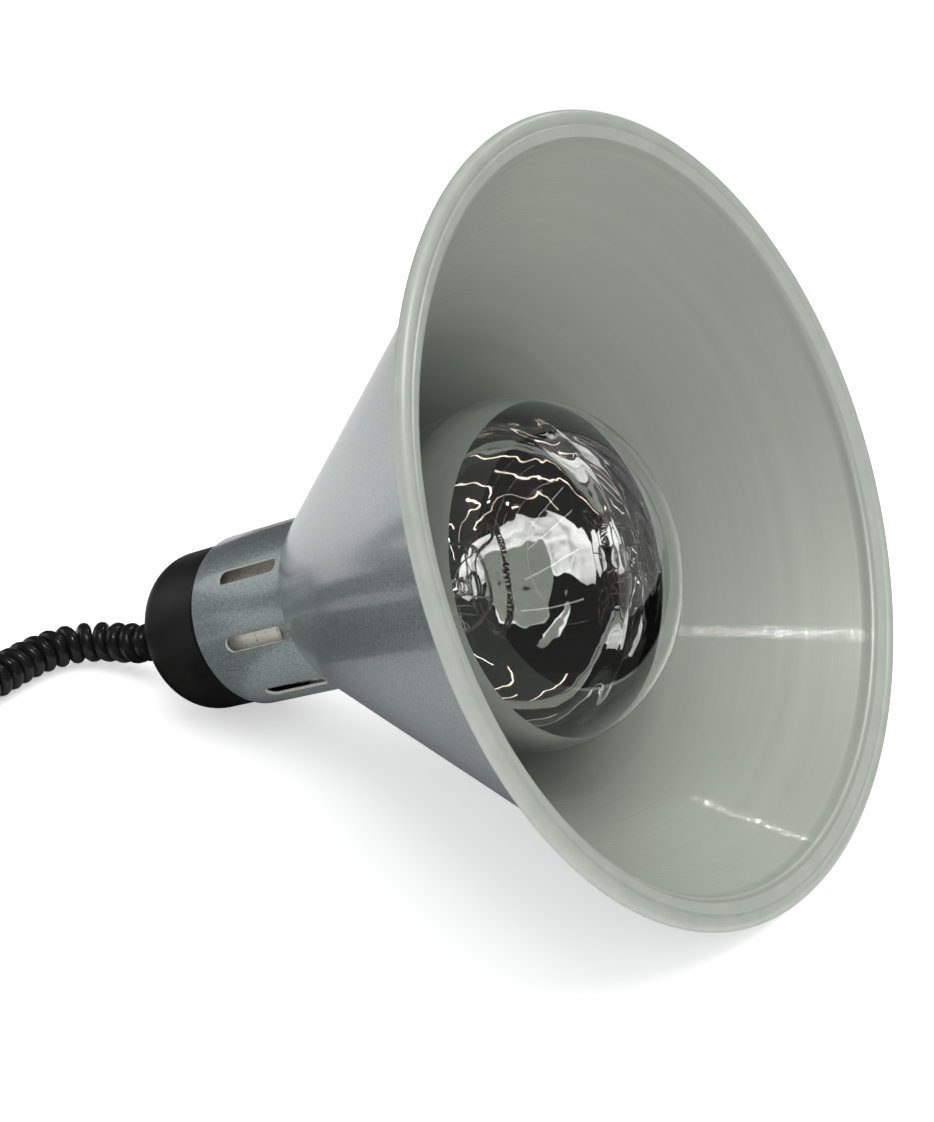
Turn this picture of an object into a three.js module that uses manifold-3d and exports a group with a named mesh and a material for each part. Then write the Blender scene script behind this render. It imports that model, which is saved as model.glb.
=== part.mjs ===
// Pendant heat lamp: a conical spun shade on a slotted neck, a reflector bulb in a ceramic
// holder, a curly cord out of the end cap, and the ceiling rose that the cord ends in.
// Millimetres, +Z up. The lamp lies on its side: the rim and the end cap touch z = 0.
import * as THREE from 'three';
import { mergeVertices } from 'three/addons/utils/BufferGeometryUtils.js';
import Module from 'manifold-3d';

const wasm = await Module();
wasm.setup();

// ---- Driving dimensions ------------------------------------------------------------------
// Places along the lamp are measured on its axis from the rim's plane, negative towards the cord.
const RIM_R = 137.5;            // outside radius of the rolled rim
const BEAD_R = 2.6;             // radius of the rolled bead
const SHADE_SLOPE = 0.596;      // radius gained per millimetre along the cone
const SHADE_WALL = 1.4;
const NECK_AT = -158;           // where cone and neck sleeve meet
const NECK_R = 36.95;           // cone's outside radius there
const THROAT_R = 26;            // hole that the bulb passes through
const FLANGE = 1.2;             // thickness of the two bolted flanges

const SLEEVE_R = 34.4;
const SLEEVE_WALL = 1.2;
const SLEEVE_END = -209.4;
const SLOT_COUNT = 8;
const SLOT_START_DEG = 4;       // first slot, turned from straight up
const SLOT_LENGTH = 32;
const SLOT_WIDTH = 6;
const SLOT_AT = -179;

const CAP_R = 32.6;
const CAP_WALL = 2.5;
const CAP_END = -248.7;
const CAP_EDGE = 14;            // rounding of the cap's closed end
const CAP_MOUTH = -201.4;       // the cap plugs into the sleeve
const GLAND_HOLE = 5.4;         // for the 10 mm thread of a cord grip
const RELIEF_TIP = -269;        // end of the tapered strain relief

const BULB_R = 62.5;            // a 125 mm reflector bulb
const BULB_WIDEST = -69.1;
const BULB_DOME = 50;           // height of the front dome
const BULB_POWER = 2.26;        // how square-shouldered the dome is
const BULB_WALL = 1;
const THREAD_PITCH = 3.629;     // E27 lamp cap
const HOLDER_PIVOT = -240;      // the holder hangs a little off the axis, about this point
const HOLDER_DOWN = 0.0412;     // slopes of the holder's axis
const HOLDER_SIDE = 0.041;
const HOLDER_R = 26.5;
const HOLDER_BORE = 15.1;

const CORD_R = 8.7;             // curly cord, outside radius of its curls
const JACKET_R = 3.2;           // the straight lead inside them
const COIL_R = 90;              // the cord put away in one round turn
const COIL_CENTRE = [-386, -100];
const COIL_LIES_AT = 8.8;       // height of the cord's middle where it lies flat
const JOIN_GAP = 0.3;

const ROSE_R = 46;              // ceiling rose
const ROSE_DEPTH = 44;
const ROSE_EDGE = 8;            // rounding of its shoulder, centred at this radius:
const ROSE_EDGE_AT = 28.5;
const ROSE_WALL = 2.2;
const ROSE_BOSS = 22;           // cord grip's length beyond the rose

// ---- Materials ---------------------------------------------------------------------------
function paint(colour, roughness, metalness) {
  return () => new THREE.MeshStandardMaterial({ color: colour, roughness, metalness });
}
const silverPaint = paint(0x8a9699, 0.42, 0.55);
const blackPlastic = paint(0x17181a, 0.55, 0);
const blackRubber = paint(0x0d0d0e, 0.35, 0);
const ceramic = paint(0xd6d0c2, 0.5, 0);
const zincSteel = paint(0xa9abad, 0.35, 1);
const brass = paint(0xb08d4a, 0.35, 1);
const nickel = paint(0xb9bbbd, 0.25, 1);
const glass = paint(0xe8eeee, 0.05, 0);
const darkGlass = paint(0x101012, 0.2, 0);
const tungsten = paint(0x3c3a3a, 0.5, 1);
const liveInsulation = paint(0x6b3a22, 0.5, 0);
const neutralInsulation = paint(0x2c4c8c, 0.5, 0);
const earthInsulation = paint(0x6c8c2a, 0.5, 0);

// ---- Shape helpers -----------------------------------------------------------------------
const DEG = Math.PI / 180;

function arc(x, r, radius, fromDeg, toDeg, steps) {
  return Array.from({ length: steps + 1 }, (_, i) => {
    const a = (fromDeg + (toDeg - fromDeg) * i / steps) * DEG;
    return [x + radius * Math.cos(a), r + radius * Math.sin(a)];
  });
}

// A solid of revolution about +X. The outline is [x, radius] pairs, in either direction.
function turned(outline, segments = 48) {
  const onAxis = outline[0][1] === 0 && outline[outline.length - 1][1] === 0;
  const ring = onAxis ? outline.slice() : [...outline, outline[0]];
  let area = 0;
  for (let i = 0; i < ring.length; i += 1) {
    const [x0, r0] = ring[i];
    const [x1, r1] = ring[(i + 1) % ring.length];
    area += r0 * x1 - r1 * x0;
  }
  if (area < 0) ring.reverse();
  const points = ring.map(([x, r]) => new THREE.Vector2(r, x));
  return new THREE.LatheGeometry(points, segments).rotateZ(-Math.PI / 2);
}

function tubeAlong(curve, radius, sides, steps) {
  const section = new THREE.Shape();
  for (let i = 0; i < sides; i += 1) {
    const a = 2 * Math.PI * i / sides;
    const move = i === 0 ? 'moveTo' : 'lineTo';
    section[move](radius * Math.cos(a), radius * Math.sin(a));
  }
  return new THREE.ExtrudeGeometry(section, { extrudePath: curve, steps, bevelEnabled: false });
}

function smoothLine(points) {
  const at = points.map((p) => new THREE.Vector3(...p));
  return new THREE.CatmullRomCurve3(at, false, 'centripetal');
}

function wire(points, radius, sides = 8, steps = 12) {
  return tubeAlong(smoothLine(points), radius, sides, steps);
}

function solid(geometry) {
  const bare = geometry.clone();
  bare.deleteAttribute('normal');
  bare.deleteAttribute('uv');
  const merged = mergeVertices(bare, 1e-4);
  return new wasm.Manifold(new wasm.Mesh({
    numProp: 3,
    vertProperties: new Float32Array(merged.attributes.position.array),
    triVerts: new Uint32Array(merged.index.array),
  }));
}

function geometryOf(manifold) {
  const { vertProperties, triVerts } = manifold.getMesh();
  const geometry = new THREE.BufferGeometry();
  geometry.setAttribute('position', new THREE.BufferAttribute(vertProperties, 3));
  geometry.setIndex(new THREE.BufferAttribute(triVerts, 1));
  geometry.computeVertexNormals();
  return geometry;
}

function cut(geometry, tools) {
  const rest = tools.reduce((left, tool) => left.subtract(solid(tool)), solid(geometry));
  return geometryOf(rest);
}

function join(first, ...others) {
  return geometryOf(others.reduce((sum, g) => sum.add(solid(g)), solid(first)));
}

function rodX(radius, from, to, segments = 16) {
  const rod = new THREE.CylinderGeometry(radius, radius, to - from, segments);
  return rod.rotateZ(-Math.PI / 2).translate((from + to) / 2, 0, 0);
}

function rodZ(radius, from, to, segments = 16) {
  const rod = new THREE.CylinderGeometry(radius, radius, to - from, segments);
  return rod.rotateX(Math.PI / 2).translate(0, 0, (from + to) / 2);
}

function put(parent, name, geometry, material) {
  const mesh = new THREE.Mesh(geometry, material());
  mesh.name = name;
  parent.add(mesh);
  return mesh;
}

// The angle at which a body of revolution lies on its side: each end is [x, radius, rounding],
// the centre and radius of the round edge that touches.
function restAngle(big, small) {
  const spread = big[1] - small[1];
  const length = Math.abs(big[0] - small[0]);
  const lean = Math.acos((small[2] - big[2]) / Math.hypot(spread, length));
  return lean - Math.atan2(length, spread);
}

// ---- Shade and neck ----------------------------------------------------------------------
const BOLT_CIRCLE = 29.6;
const BOLT_ANGLES = [60, 180, 300];
const BOLT_HOLE = 1.9;

function coneRadius(x) {
  return NECK_R + (x - NECK_AT) * SHADE_SLOPE;
}

function shadeCone() {
  const inside = SHADE_WALL / Math.cos(Math.atan(SHADE_SLOPE));
  const beadX = -BEAD_R;
  const beadAt = RIM_R - BEAD_R;
  const outline = [
    [NECK_AT, THROAT_R],
    [NECK_AT, NECK_R - 2],
    [NECK_AT + 0.4, NECK_R - 0.5],
    [NECK_AT + 1.1, coneRadius(NECK_AT + 1.1)],
    [-60, coneRadius(-60)],
    [-9, coneRadius(-9)],
    [-5.4, coneRadius(-5.4) + 0.5],
    [-3.4, beadAt - 4.2],
    ...arc(beadX, beadAt, BEAD_R, 250, 0, 6),
    [-0.25, beadAt - 3],
    [-1.6, beadAt - 5.4],
    [-4.6, coneRadius(-4.6) - 1.1],
    [-9.6, coneRadius(-9.6) - inside],
    [-60, coneRadius(-60) - inside],
    [NECK_AT + FLANGE, NECK_R + FLANGE * SHADE_SLOPE - inside],
    [NECK_AT + FLANGE, THROAT_R],
  ];
  return cut(turned(outline, 60), boltTools());
}

function boltTools() {
  return BOLT_ANGLES.map((angle) => rodX(BOLT_HOLE, NECK_AT - 4, NECK_AT + 4, 12)
    .translate(0, 0, BOLT_CIRCLE)
    .rotateX(angle * DEG));
}

function slotTool(angle) {
  const end = SLOT_LENGTH / 2 - SLOT_WIDTH / 2;
  const shape = new THREE.Shape();
  shape.absarc(end, 0, SLOT_WIDTH / 2, -Math.PI / 2, Math.PI / 2);
  shape.absarc(-end, 0, SLOT_WIDTH / 2, Math.PI / 2, 3 * Math.PI / 2);
  const block = new THREE.ExtrudeGeometry(shape, { depth: 12, bevelEnabled: false, curveSegments: 4 });
  return block.translate(SLOT_AT, 0, SLEEVE_R - 6).rotateX(angle * DEG);
}

const CAP_SCREW_ANGLES = [210, 330];
const CAP_SCREW_AT = -205.4;
const CAP_SCREW_HOLE = 1.8;

function capScrewTools() {
  return CAP_SCREW_ANGLES.map((angle) => rodZ(CAP_SCREW_HOLE, 28, 38, 12)
    .translate(CAP_SCREW_AT, 0, 0)
    .rotateX(angle * DEG));
}

function neckSleeve() {
  const front = NECK_AT - JOIN_GAP;
  const outline = [
    [SLEEVE_END, SLEEVE_R - SLEEVE_WALL],
    [SLEEVE_END, SLEEVE_R],
    [front - 0.6, SLEEVE_R],
    [front, SLEEVE_R - 0.6],
    [front, THROAT_R],
    [front - FLANGE, THROAT_R],
    [front - FLANGE, SLEEVE_R - SLEEVE_WALL],
  ];
  const slots = Array.from({ length: SLOT_COUNT }, (_, i) => (
    slotTool(SLOT_START_DEG + i * 360 / SLOT_COUNT)));
  return cut(turned(outline, 56), [...slots, ...boltTools(), ...capScrewTools()]);
}

// A dome-headed screw along +Z with its head's seat at z = 0.
function screw(shankR, length, headR, headHeight) {
  const profile = [
    [-length, 0], [-length, shankR], [0, shankR], [0, headR],
    [headHeight * 0.55, headR], [headHeight, headR * 0.6], [headHeight, 0],
  ];
  return turned(profile, 12).rotateY(-Math.PI / 2);
}

function hexNut(outerR, holeR, thickness) {
  return cut(rodZ(outerR, 0, thickness, 6), [rodZ(holeR, -1, thickness + 1, 12)]);
}

function addNeck(lamp) {
  put(lamp, 'shade_cone', shadeCone(), silverPaint);
  put(lamp, 'neck_sleeve', neckSleeve(), silverPaint);
  BOLT_ANGLES.forEach((angle, i) => {
    const turn = new THREE.Group();
    turn.rotation.x = angle * DEG;
    lamp.add(turn);
    const bolt = put(turn, `flange_screw_${i + 1}`, screw(1.5, 7, 2.8, 2), zincSteel);
    bolt.position.set(NECK_AT + FLANGE + JOIN_GAP, 0, BOLT_CIRCLE);
    bolt.rotation.y = Math.PI / 2;
    const nut = put(turn, `flange_nut_${i + 1}`, hexNut(3.1, 1.85, 2.2), zincSteel);
    nut.position.set(NECK_AT - 2 * JOIN_GAP - FLANGE - 2.2, 0, BOLT_CIRCLE);
    nut.rotation.y = Math.PI / 2;
  });
}

// ---- End cap, gland and cord entry -------------------------------------------------------
function endCap() {
  const edgeX = CAP_END + CAP_EDGE;
  const edgeR = CAP_R - CAP_EDGE;
  const outline = [
    [CAP_MOUTH, CAP_R - CAP_WALL],
    [CAP_MOUTH, CAP_R],
    ...arc(edgeX, edgeR, CAP_EDGE, 90, 180, 6),
    [CAP_END, GLAND_HOLE],
    [CAP_END + CAP_WALL, GLAND_HOLE],
    ...arc(edgeX, edgeR, CAP_EDGE - CAP_WALL, 180, 90, 4),
  ];
  return cut(turned(outline, 44), capScrewTools());
}

function strainRelief() {
  const flange = CAP_END - JOIN_GAP;
  const bore = JACKET_R + 0.5;
  return turned([
    [-237, bore], [-237, GLAND_HOLE - 0.4], [flange, GLAND_HOLE - 0.4], [flange, 11],
    [flange - 2.4, 11], [flange - 3.4, 9.6], [RELIEF_TIP + 6, 6.6], [RELIEF_TIP, 5.6],
    [RELIEF_TIP, bore],
  ], 32);
}

function addCap(lamp) {
  put(lamp, 'end_cap', endCap(), blackPlastic);
  put(lamp, 'strain_relief', strainRelief(), blackRubber);
  const nut = put(lamp, 'gland_nut', hexNut(9.4, GLAND_HOLE, 4), zincSteel);
  nut.position.x = -242.6;
  nut.rotation.y = Math.PI / 2;
  CAP_SCREW_ANGLES.forEach((angle, i) => {
    const turn = new THREE.Group();
    turn.rotation.x = angle * DEG;
    lamp.add(turn);
    const capScrew = put(turn, `cap_screw_${i + 1}`, screw(1.4, 7, 2.7, 1.8), zincSteel);
    capScrew.position.set(CAP_SCREW_AT, 0, SLEEVE_R + JOIN_GAP);
  });
}

// ---- Lampholder --------------------------------------------------------------------------
const BRACKET_AT = -244.4;
const BRACKET_HALF = 22;
const BRACKET_T = 1.5;
const BRACKET_W = 16;
const BRACKET_TOP = -196;
const HOLDER_BACK = -211;
const HOLDER_SPLIT = -182.3;
const HOLDER_FRONT = -168.5;
const HOLDER_FLOOR = -199;
const SIDE_SCREW_AT = -205;
const TERMINAL_R = 10;
const RECESS_FLOOR = 20.9;      // the ceramic is cut back here, where the bracket's arms lie
const RECESS_W = 17.2;

function bracketStrap() {
  const half = BRACKET_HALF + BRACKET_T / 2;
  const inner = BRACKET_HALF - BRACKET_T / 2;
  const back = BRACKET_AT - BRACKET_T / 2;
  const strap = new THREE.Shape([
    [BRACKET_TOP, half], [back + 6, half], [back, half - 6], [back, 6 - half], [back + 6, -half],
    [BRACKET_TOP, -half], [BRACKET_TOP, -inner], [back + 6.6, -inner],
    [back + BRACKET_T, 6.6 - inner], [back + BRACKET_T, inner - 6.6], [back + 6.6, inner],
    [BRACKET_TOP, inner],
  ].map(([x, y]) => new THREE.Vector2(x, y)));
  const bent = new THREE.ExtrudeGeometry(strap, { depth: BRACKET_W, bevelEnabled: false })
    .translate(0, 0, -BRACKET_W / 2);
  const sideHole = rodZ(2, -30, 30, 12).rotateX(Math.PI / 2).translate(SIDE_SCREW_AT, 0, 0);
  const earthHole = rodZ(1.9, 10, 30, 12).rotateX(-Math.PI / 2).translate(-228, 0, 0);
  return cut(bent, [rodX(GLAND_HOLE + 0.5, -260, -235, 20), sideHole, earthHole]);
}

function holderBase() {
  const body = turned([
    [HOLDER_BACK, 0], [HOLDER_BACK, HOLDER_R - 1], [HOLDER_BACK + 1, HOLDER_R],
    [HOLDER_SPLIT, HOLDER_R], [HOLDER_SPLIT, HOLDER_BORE], [HOLDER_FLOOR, HOLDER_BORE],
    [HOLDER_FLOOR, 0],
  ], 32);
  const holes = [1, -1].flatMap((sign) => [
    rodZ(2, 13, 24, 12).rotateX(sign * Math.PI / 2).translate(SIDE_SCREW_AT, 0, 0),
    rodX(1.9, HOLDER_BACK - 2, HOLDER_BACK + 7, 12).translate(0, 0, sign * TERMINAL_R),
    new THREE.BoxGeometry(20, 10, RECESS_W)
      .translate(BRACKET_TOP + 0.4 - 10, sign * (RECESS_FLOOR + 5), 0),
  ]);
  return cut(body, holes);
}

function holderSkirt() {
  return turned([
    [HOLDER_SPLIT + JOIN_GAP, HOLDER_BORE], [HOLDER_SPLIT + JOIN_GAP, HOLDER_R],
    [HOLDER_FRONT - 4, HOLDER_R], [HOLDER_FRONT - 3.4, HOLDER_R + 0.9],
    [HOLDER_FRONT - 1, HOLDER_R + 0.9], [HOLDER_FRONT, HOLDER_R], [HOLDER_FRONT, 16.4],
    [HOLDER_FRONT - 1, HOLDER_BORE],
  ], 32);
}

function addHolder(holder) {
  const upright = new THREE.Group();      // turned, so that the bracket's arms are above and below
  upright.rotation.x = Math.PI / 2;
  holder.add(upright);
  put(upright, 'holder_bracket', bracketStrap(), zincSteel);
  put(upright, 'holder_base', holderBase(), ceramic);
  put(holder, 'holder_skirt', holderSkirt(), ceramic);
  put(holder, 'holder_shell', turned([
    [-193, 13.9], [-193, 14.5], [-173.4, 14.5], [-173, 14.7], [-172.5, 14.4], [-173, 13.9],
  ], 28), brass);
  put(holder, 'holder_contact', turned([
    [-198.6, 0], [-198.6, 5], [-198, 5], [-197.8, 2.2], [-197.8, 0],
  ], 20), brass);
  [1, -1].forEach((sign, i) => {
    const side = put(upright, `bracket_screw_${i + 1}`, screw(1.6, 8.5, 3, 2), zincSteel);
    side.position.set(SIDE_SCREW_AT, -sign * (BRACKET_HALF + 1.1), 0);
    side.rotation.x = sign * Math.PI / 2;
    const terminal = put(upright, `terminal_screw_${i + 1}`, screw(1.5, 6, 2.6, 2.4), brass);
    terminal.position.set(HOLDER_BACK - JOIN_GAP, 0, sign * TERMINAL_R);
    terminal.rotation.y = -Math.PI / 2;
  });
  const earth = put(upright, 'earth_screw', screw(1.5, 5, 2.8, 1.4), brass);
  earth.position.set(-228, BRACKET_HALF + 1.1, 0);
  earth.rotation.x = -Math.PI / 2;
  const tip = HOLDER_BACK - 3.2;
  put(upright, 'lead_live',
    wire([[-235.8, 0, 1.5], [-229, 0, 3], [-222, 0, 8], [-217.5, 0, 9.9], [tip, 0, 10]], 0.9),
    liveInsulation);
  put(upright, 'lead_neutral',
    wire([[-235.8, 0, -1.5], [-229, 0, -3], [-222, 0, -8], [-217.5, 0, -9.9], [tip, 0, -10]], 0.9),
    neutralInsulation);
  put(upright, 'lead_earth',
    wire([[-235.6, 2, 0], [-232, 6, 0], [-229, 11, 0], [-228, 15.5, 0]], 0.9),
    earthInsulation);
}

// ---- Bulb --------------------------------------------------------------------------------
const GLASS_END = -170.5;
const FILAMENT_AT = -98;
const FILAMENT_R = 17;
const SUPPORT_COUNT = 5;

function bulbOutline(inset) {
  const widest = BULB_R - inset;
  const dome = BULB_DOME - inset;
  const points = Array.from({ length: 8 }, (_, i) => {
    const x = dome * Math.cos(i * 90 / 8 * DEG);
    return [BULB_WIDEST + x, widest * (1 - (x / dome) ** BULB_POWER) ** (1 / BULB_POWER)];
  });
  points[0][1] = 0;
  const bowl = new THREE.SplineCurve([
    [0, 62.5], [13, 60.8], [28, 55], [43, 46.4], [57, 36.6], [70, 27.6], [81, 21.4], [91, 17.2],
    [BULB_WIDEST - GLASS_END, 14.2],
  ].map(([back, r]) => new THREE.Vector2(BULB_WIDEST - back, r - inset)));
  return [...points, ...bowl.getPoints(8).map((p) => [p.x, p.y])];
}

// Open at its neck, where the real glass is pinched shut inside the lamp cap.
function bulbGlass() {
  const filled = (inset, end) => {
    const outline = bulbOutline(inset);
    const neckR = outline[outline.length - 1][1];
    return turned([...outline, [end, neckR], [end, 0]], 40);
  };
  return cut(filled(0, GLASS_END - 0.01), [filled(BULB_WALL, GLASS_END - 1)]);
}

// The lamp cap's rolled thread as rings: its crest and root radii are the real ones.
function capShell() {
  const crest = 13.2;
  const root = 12.2;
  const wall = 0.5;
  const turns = 4;
  const start = -174;
  const thread = Array.from({ length: turns * 2 + 1 }, (_, i) => {
    const radius = i % 2 === 0 ? root : crest;
    return [start - i * THREAD_PITCH / 2, radius];
  });
  const foot = start - turns * THREAD_PITCH;
  const outer = [[GLASS_END - JOIN_GAP, 14], [-171.4, 14], ...thread, [foot - 1.6, 9.6]];
  const inner = outer.map(([x, r]) => [x, r - wall]).reverse();
  return turned([...outer, ...inner], 24);
}

function addBulb(holder) {
  put(holder, 'bulb_glass', bulbGlass(), glass);
  put(holder, 'bulb_cap_shell', capShell(), nickel);
  put(holder, 'bulb_insulator', turned([
    [-190.5, 0], [-190.5, 8.7], [-192, 9.2], [-195.2, 5.6], [-195.2, 0],
  ], 32), darkGlass);
  put(holder, 'bulb_tip', turned([
    [-195.5, 0], [-195.5, 4.6], [-196.6, 4.2], [-197.3, 2.4], [-197.5, 0],
  ], 20), nickel);
  put(holder, 'bulb_stem', turned([
    [-169, 0], [-169, 11.4], [-166.5, 9.4], [-158, 5.2], [-150, 4], [-106, 3], [-104, 4.2],
    [-101.5, 4.2], [-100, 2.6], [-100, 0],
  ], 24), glass);
  const first = 18;
  const spacing = 360 / SUPPORT_COUNT;
  const ringPoint = (deg, r, x = FILAMENT_AT) => (
    [x, -r * Math.sin(deg * DEG), r * Math.cos(deg * DEG)]);
  for (let i = 0; i < SUPPORT_COUNT; i += 1) {
    const deg = first + spacing * i;
    const arm = wire([ringPoint(deg, 4.7, -102.8), ringPoint(deg, 10, -102.6),
      ringPoint(deg, FILAMENT_R - 1.6, FILAMENT_AT - 0.4)], 0.35, 6, 6);
    put(holder, `bulb_support_${i + 1}`, arm, nickel);
  }
  // The filament hangs in a pentagon round the supports, open between the first and the last.
  const start = first + 12;
  const sweep = 336;
  const ring = Array.from({ length: 15 }, (_, i) => {
    const deg = start + sweep * i / 14;
    const fromCorner = ((deg - first) % spacing) / spacing - 0.5;
    return ringPoint(deg, FILAMENT_R - 1.6 * Math.cos(fromCorner * Math.PI));
  });
  put(holder, 'bulb_filament', wire(ring, 0.75, 8, 28), tungsten);
  [start, start + sweep].forEach((deg, i) => {
    const rest = FILAMENT_AT - 1.2;
    put(holder, `bulb_leadwire_${i + 1}`, wire([ringPoint(deg, FILAMENT_R - 1.2, rest),
      ringPoint(deg, 14, -106), ringPoint(deg, 10.4, -128), ringPoint(deg, 9.6, -150),
      ringPoint(deg, 11, -162)], 0.5, 6, 12), nickel);
  });
}

// ---- Curly cord --------------------------------------------------------------------------
const COIL_START_DEG = -15;     // where the turn begins, seen from above
const COIL_SWEEP_DEG = 360;     // clockwise
const COIL_SHIFT = 18;          // the end of the turn lies inside its start
const COIL_SHIFT_FROM = 275;    // degrees into the turn
const TIE_DEG = -20;
const TIE_LIFT = 2;             // the strap passes under the cord
const TIE_SLACK = 0.8;

function liftNearTie(deg) {
  const away = ((deg - TIE_DEG + 180) % 360 + 360) % 360 - 180;
  return TIE_LIFT * Math.exp(-((away / 25) ** 2));
}

function coilPoint(turnedDeg) {
  const share = (turnedDeg - COIL_SHIFT_FROM) / (COIL_SWEEP_DEG - COIL_SHIFT_FROM);
  const inward = (1 - Math.cos(Math.PI * THREE.MathUtils.clamp(share, 0, 1))) / 2;
  const r = COIL_R - COIL_SHIFT * inward;
  const deg = COIL_START_DEG - turnedDeg;
  return new THREE.Vector3(
    COIL_CENTRE[0] + r * Math.cos(deg * DEG),
    COIL_CENTRE[1] + r * Math.sin(deg * DEG),
    COIL_LIES_AT + liftNearTie(deg),
  );
}

class CoilTurn extends THREE.Curve {
  getPoint(t) {
    const margin = 0.2;
    return coilPoint(margin + (COIL_SWEEP_DEG - 2 * margin) * t);
  }
}

// The route from the strain relief to the coil, chosen by hand.
const LEAD_ROUTE = [
  [-256.5, 0, 13.9], [-267, -0.2, 11.6], [-278, -2, 10], [-287, -8.5, 9.2], [-291.8, -20, 8.9],
  [-292.6, -33, 8.8], [-290.8, -47, 8.8], [-289, -61, 8.9], [-289.8, -79, 9.1], [-293, -99, 9.5],
];
// From the end of the turn into the ceiling rose, relative to the coil's centre.
const TAIL_ROUTE = [
  [63.8, -32.8, 10.4], [55.6, -43, 10.6], [43.5, -48.6, 12.6], [32, -49.3, 16],
];

function addCord(all, entry) {
  const start = coilPoint(0);
  const lead = [...entry, ...LEAD_ROUTE, start.toArray()];
  put(all, 'cord_lead', tubeAlong(smoothLine(lead), CORD_R, 12, 20), blackRubber);
  put(all, 'cord_coil', tubeAlong(new CoilTurn(), CORD_R, 12, 44), blackRubber);
}

function addTail(all, boss) {
  const fromCoil = [0.2, 3].map((deg) => coilPoint(COIL_SWEEP_DEG + deg).toArray());
  const route = TAIL_ROUTE.map(([x, y, z]) => [COIL_CENTRE[0] + x, COIL_CENTRE[1] + y, z]);
  const tail = smoothLine([...fromCoil, ...route, ...boss]);
  put(all, 'cord_tail', tubeAlong(tail, CORD_R, 12, 12), blackRubber);
}

// A flat strap round the two strands that lie side by side at the end of the turn.
function addTie(all) {
  const thickness = 1.1;
  const width = 8;
  const halfHeight = CORD_R + TIE_SLACK;
  const halfSpan = COIL_SHIFT / 2 + CORD_R + TIE_SLACK;
  const loop = (grow) => {
    const shape = new THREE.Shape();
    const bend = halfHeight + grow;
    const flat = halfSpan - halfHeight;
    shape.absarc(flat, 0, bend, -Math.PI / 2, Math.PI / 2);
    shape.absarc(-flat, 0, bend, Math.PI / 2, 3 * Math.PI / 2);
    return shape;
  };
  const shape = loop(thickness);
  shape.holes.push(loop(0));
  const strap = new THREE.ExtrudeGeometry(shape, {
    depth: width, bevelEnabled: false, curveSegments: 8,
  }).translate(0, 0, -width / 2).rotateX(Math.PI / 2);
  const mesh = put(all, 'cord_tie', strap, blackPlastic);
  const middle = COIL_R - COIL_SHIFT / 2;
  mesh.rotation.z = TIE_DEG * DEG;
  mesh.position.set(
    COIL_CENTRE[0] + middle * Math.cos(TIE_DEG * DEG),
    COIL_CENTRE[1] + middle * Math.sin(TIE_DEG * DEG),
    COIL_LIES_AT + TIE_LIFT,
  );
}

// ---- Ceiling rose ------------------------------------------------------------------------
// In its own frame the rose's open back is at x = 0 and the cord grip points along +X.
const ROSE_MIDDLE_R = 39.9;     // half way down the rose's side
const ROSE_PLATE_R = 40;
const ROSE_TURN_DEG = -25;      // which way the grip points, seen from above
const ROSE_TIP = [-370, -142.8];
const ROSE_SCREW_AT = 6;

function roseShell() {
  const edgeX = ROSE_DEPTH - ROSE_EDGE;
  const edgeR = ROSE_EDGE_AT;
  const outline = [
    [0, ROSE_R - ROSE_WALL], [0, ROSE_R], [4, ROSE_R - 1.2], [22, ROSE_MIDDLE_R],
    ...arc(edgeX, edgeR, ROSE_EDGE, 78, 0, 4),
    [ROSE_DEPTH, GLAND_HOLE],
    [ROSE_DEPTH - ROSE_WALL, GLAND_HOLE],
    ...arc(edgeX, edgeR, ROSE_EDGE - ROSE_WALL, 0, 78, 3),
    [22, ROSE_MIDDLE_R - ROSE_WALL], [4, ROSE_R - 1.2 - ROSE_WALL],
  ];
  const screwHoles = [1, -1].map((sign) => rodZ(1.8, 38, 50, 12)
    .rotateX(sign * Math.PI / 2)
    .translate(ROSE_SCREW_AT, 0, 0));
  return cut(turned(outline, 44), screwHoles);
}

function rosePlate() {
  const disc = rodX(ROSE_PLATE_R, 0, 1.6, 40);
  const slots = [1, -1].map((sign) => rodX(2.6, -2, 4, 12).translate(0, 0, sign * 28));
  const ears = [1, -1].map((sign) => new THREE.BoxGeometry(10, 1.5, 14)
    .translate(5, sign * (ROSE_PLATE_R - 0.8), 0));
  const earHoles = [1, -1].map((sign) => rodZ(1.6, 34, 46, 12)
    .rotateX(sign * Math.PI / 2)
    .translate(ROSE_SCREW_AT, 0, 0));
  return cut(join(disc, ...ears), [...slots, ...earHoles]);
}

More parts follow.
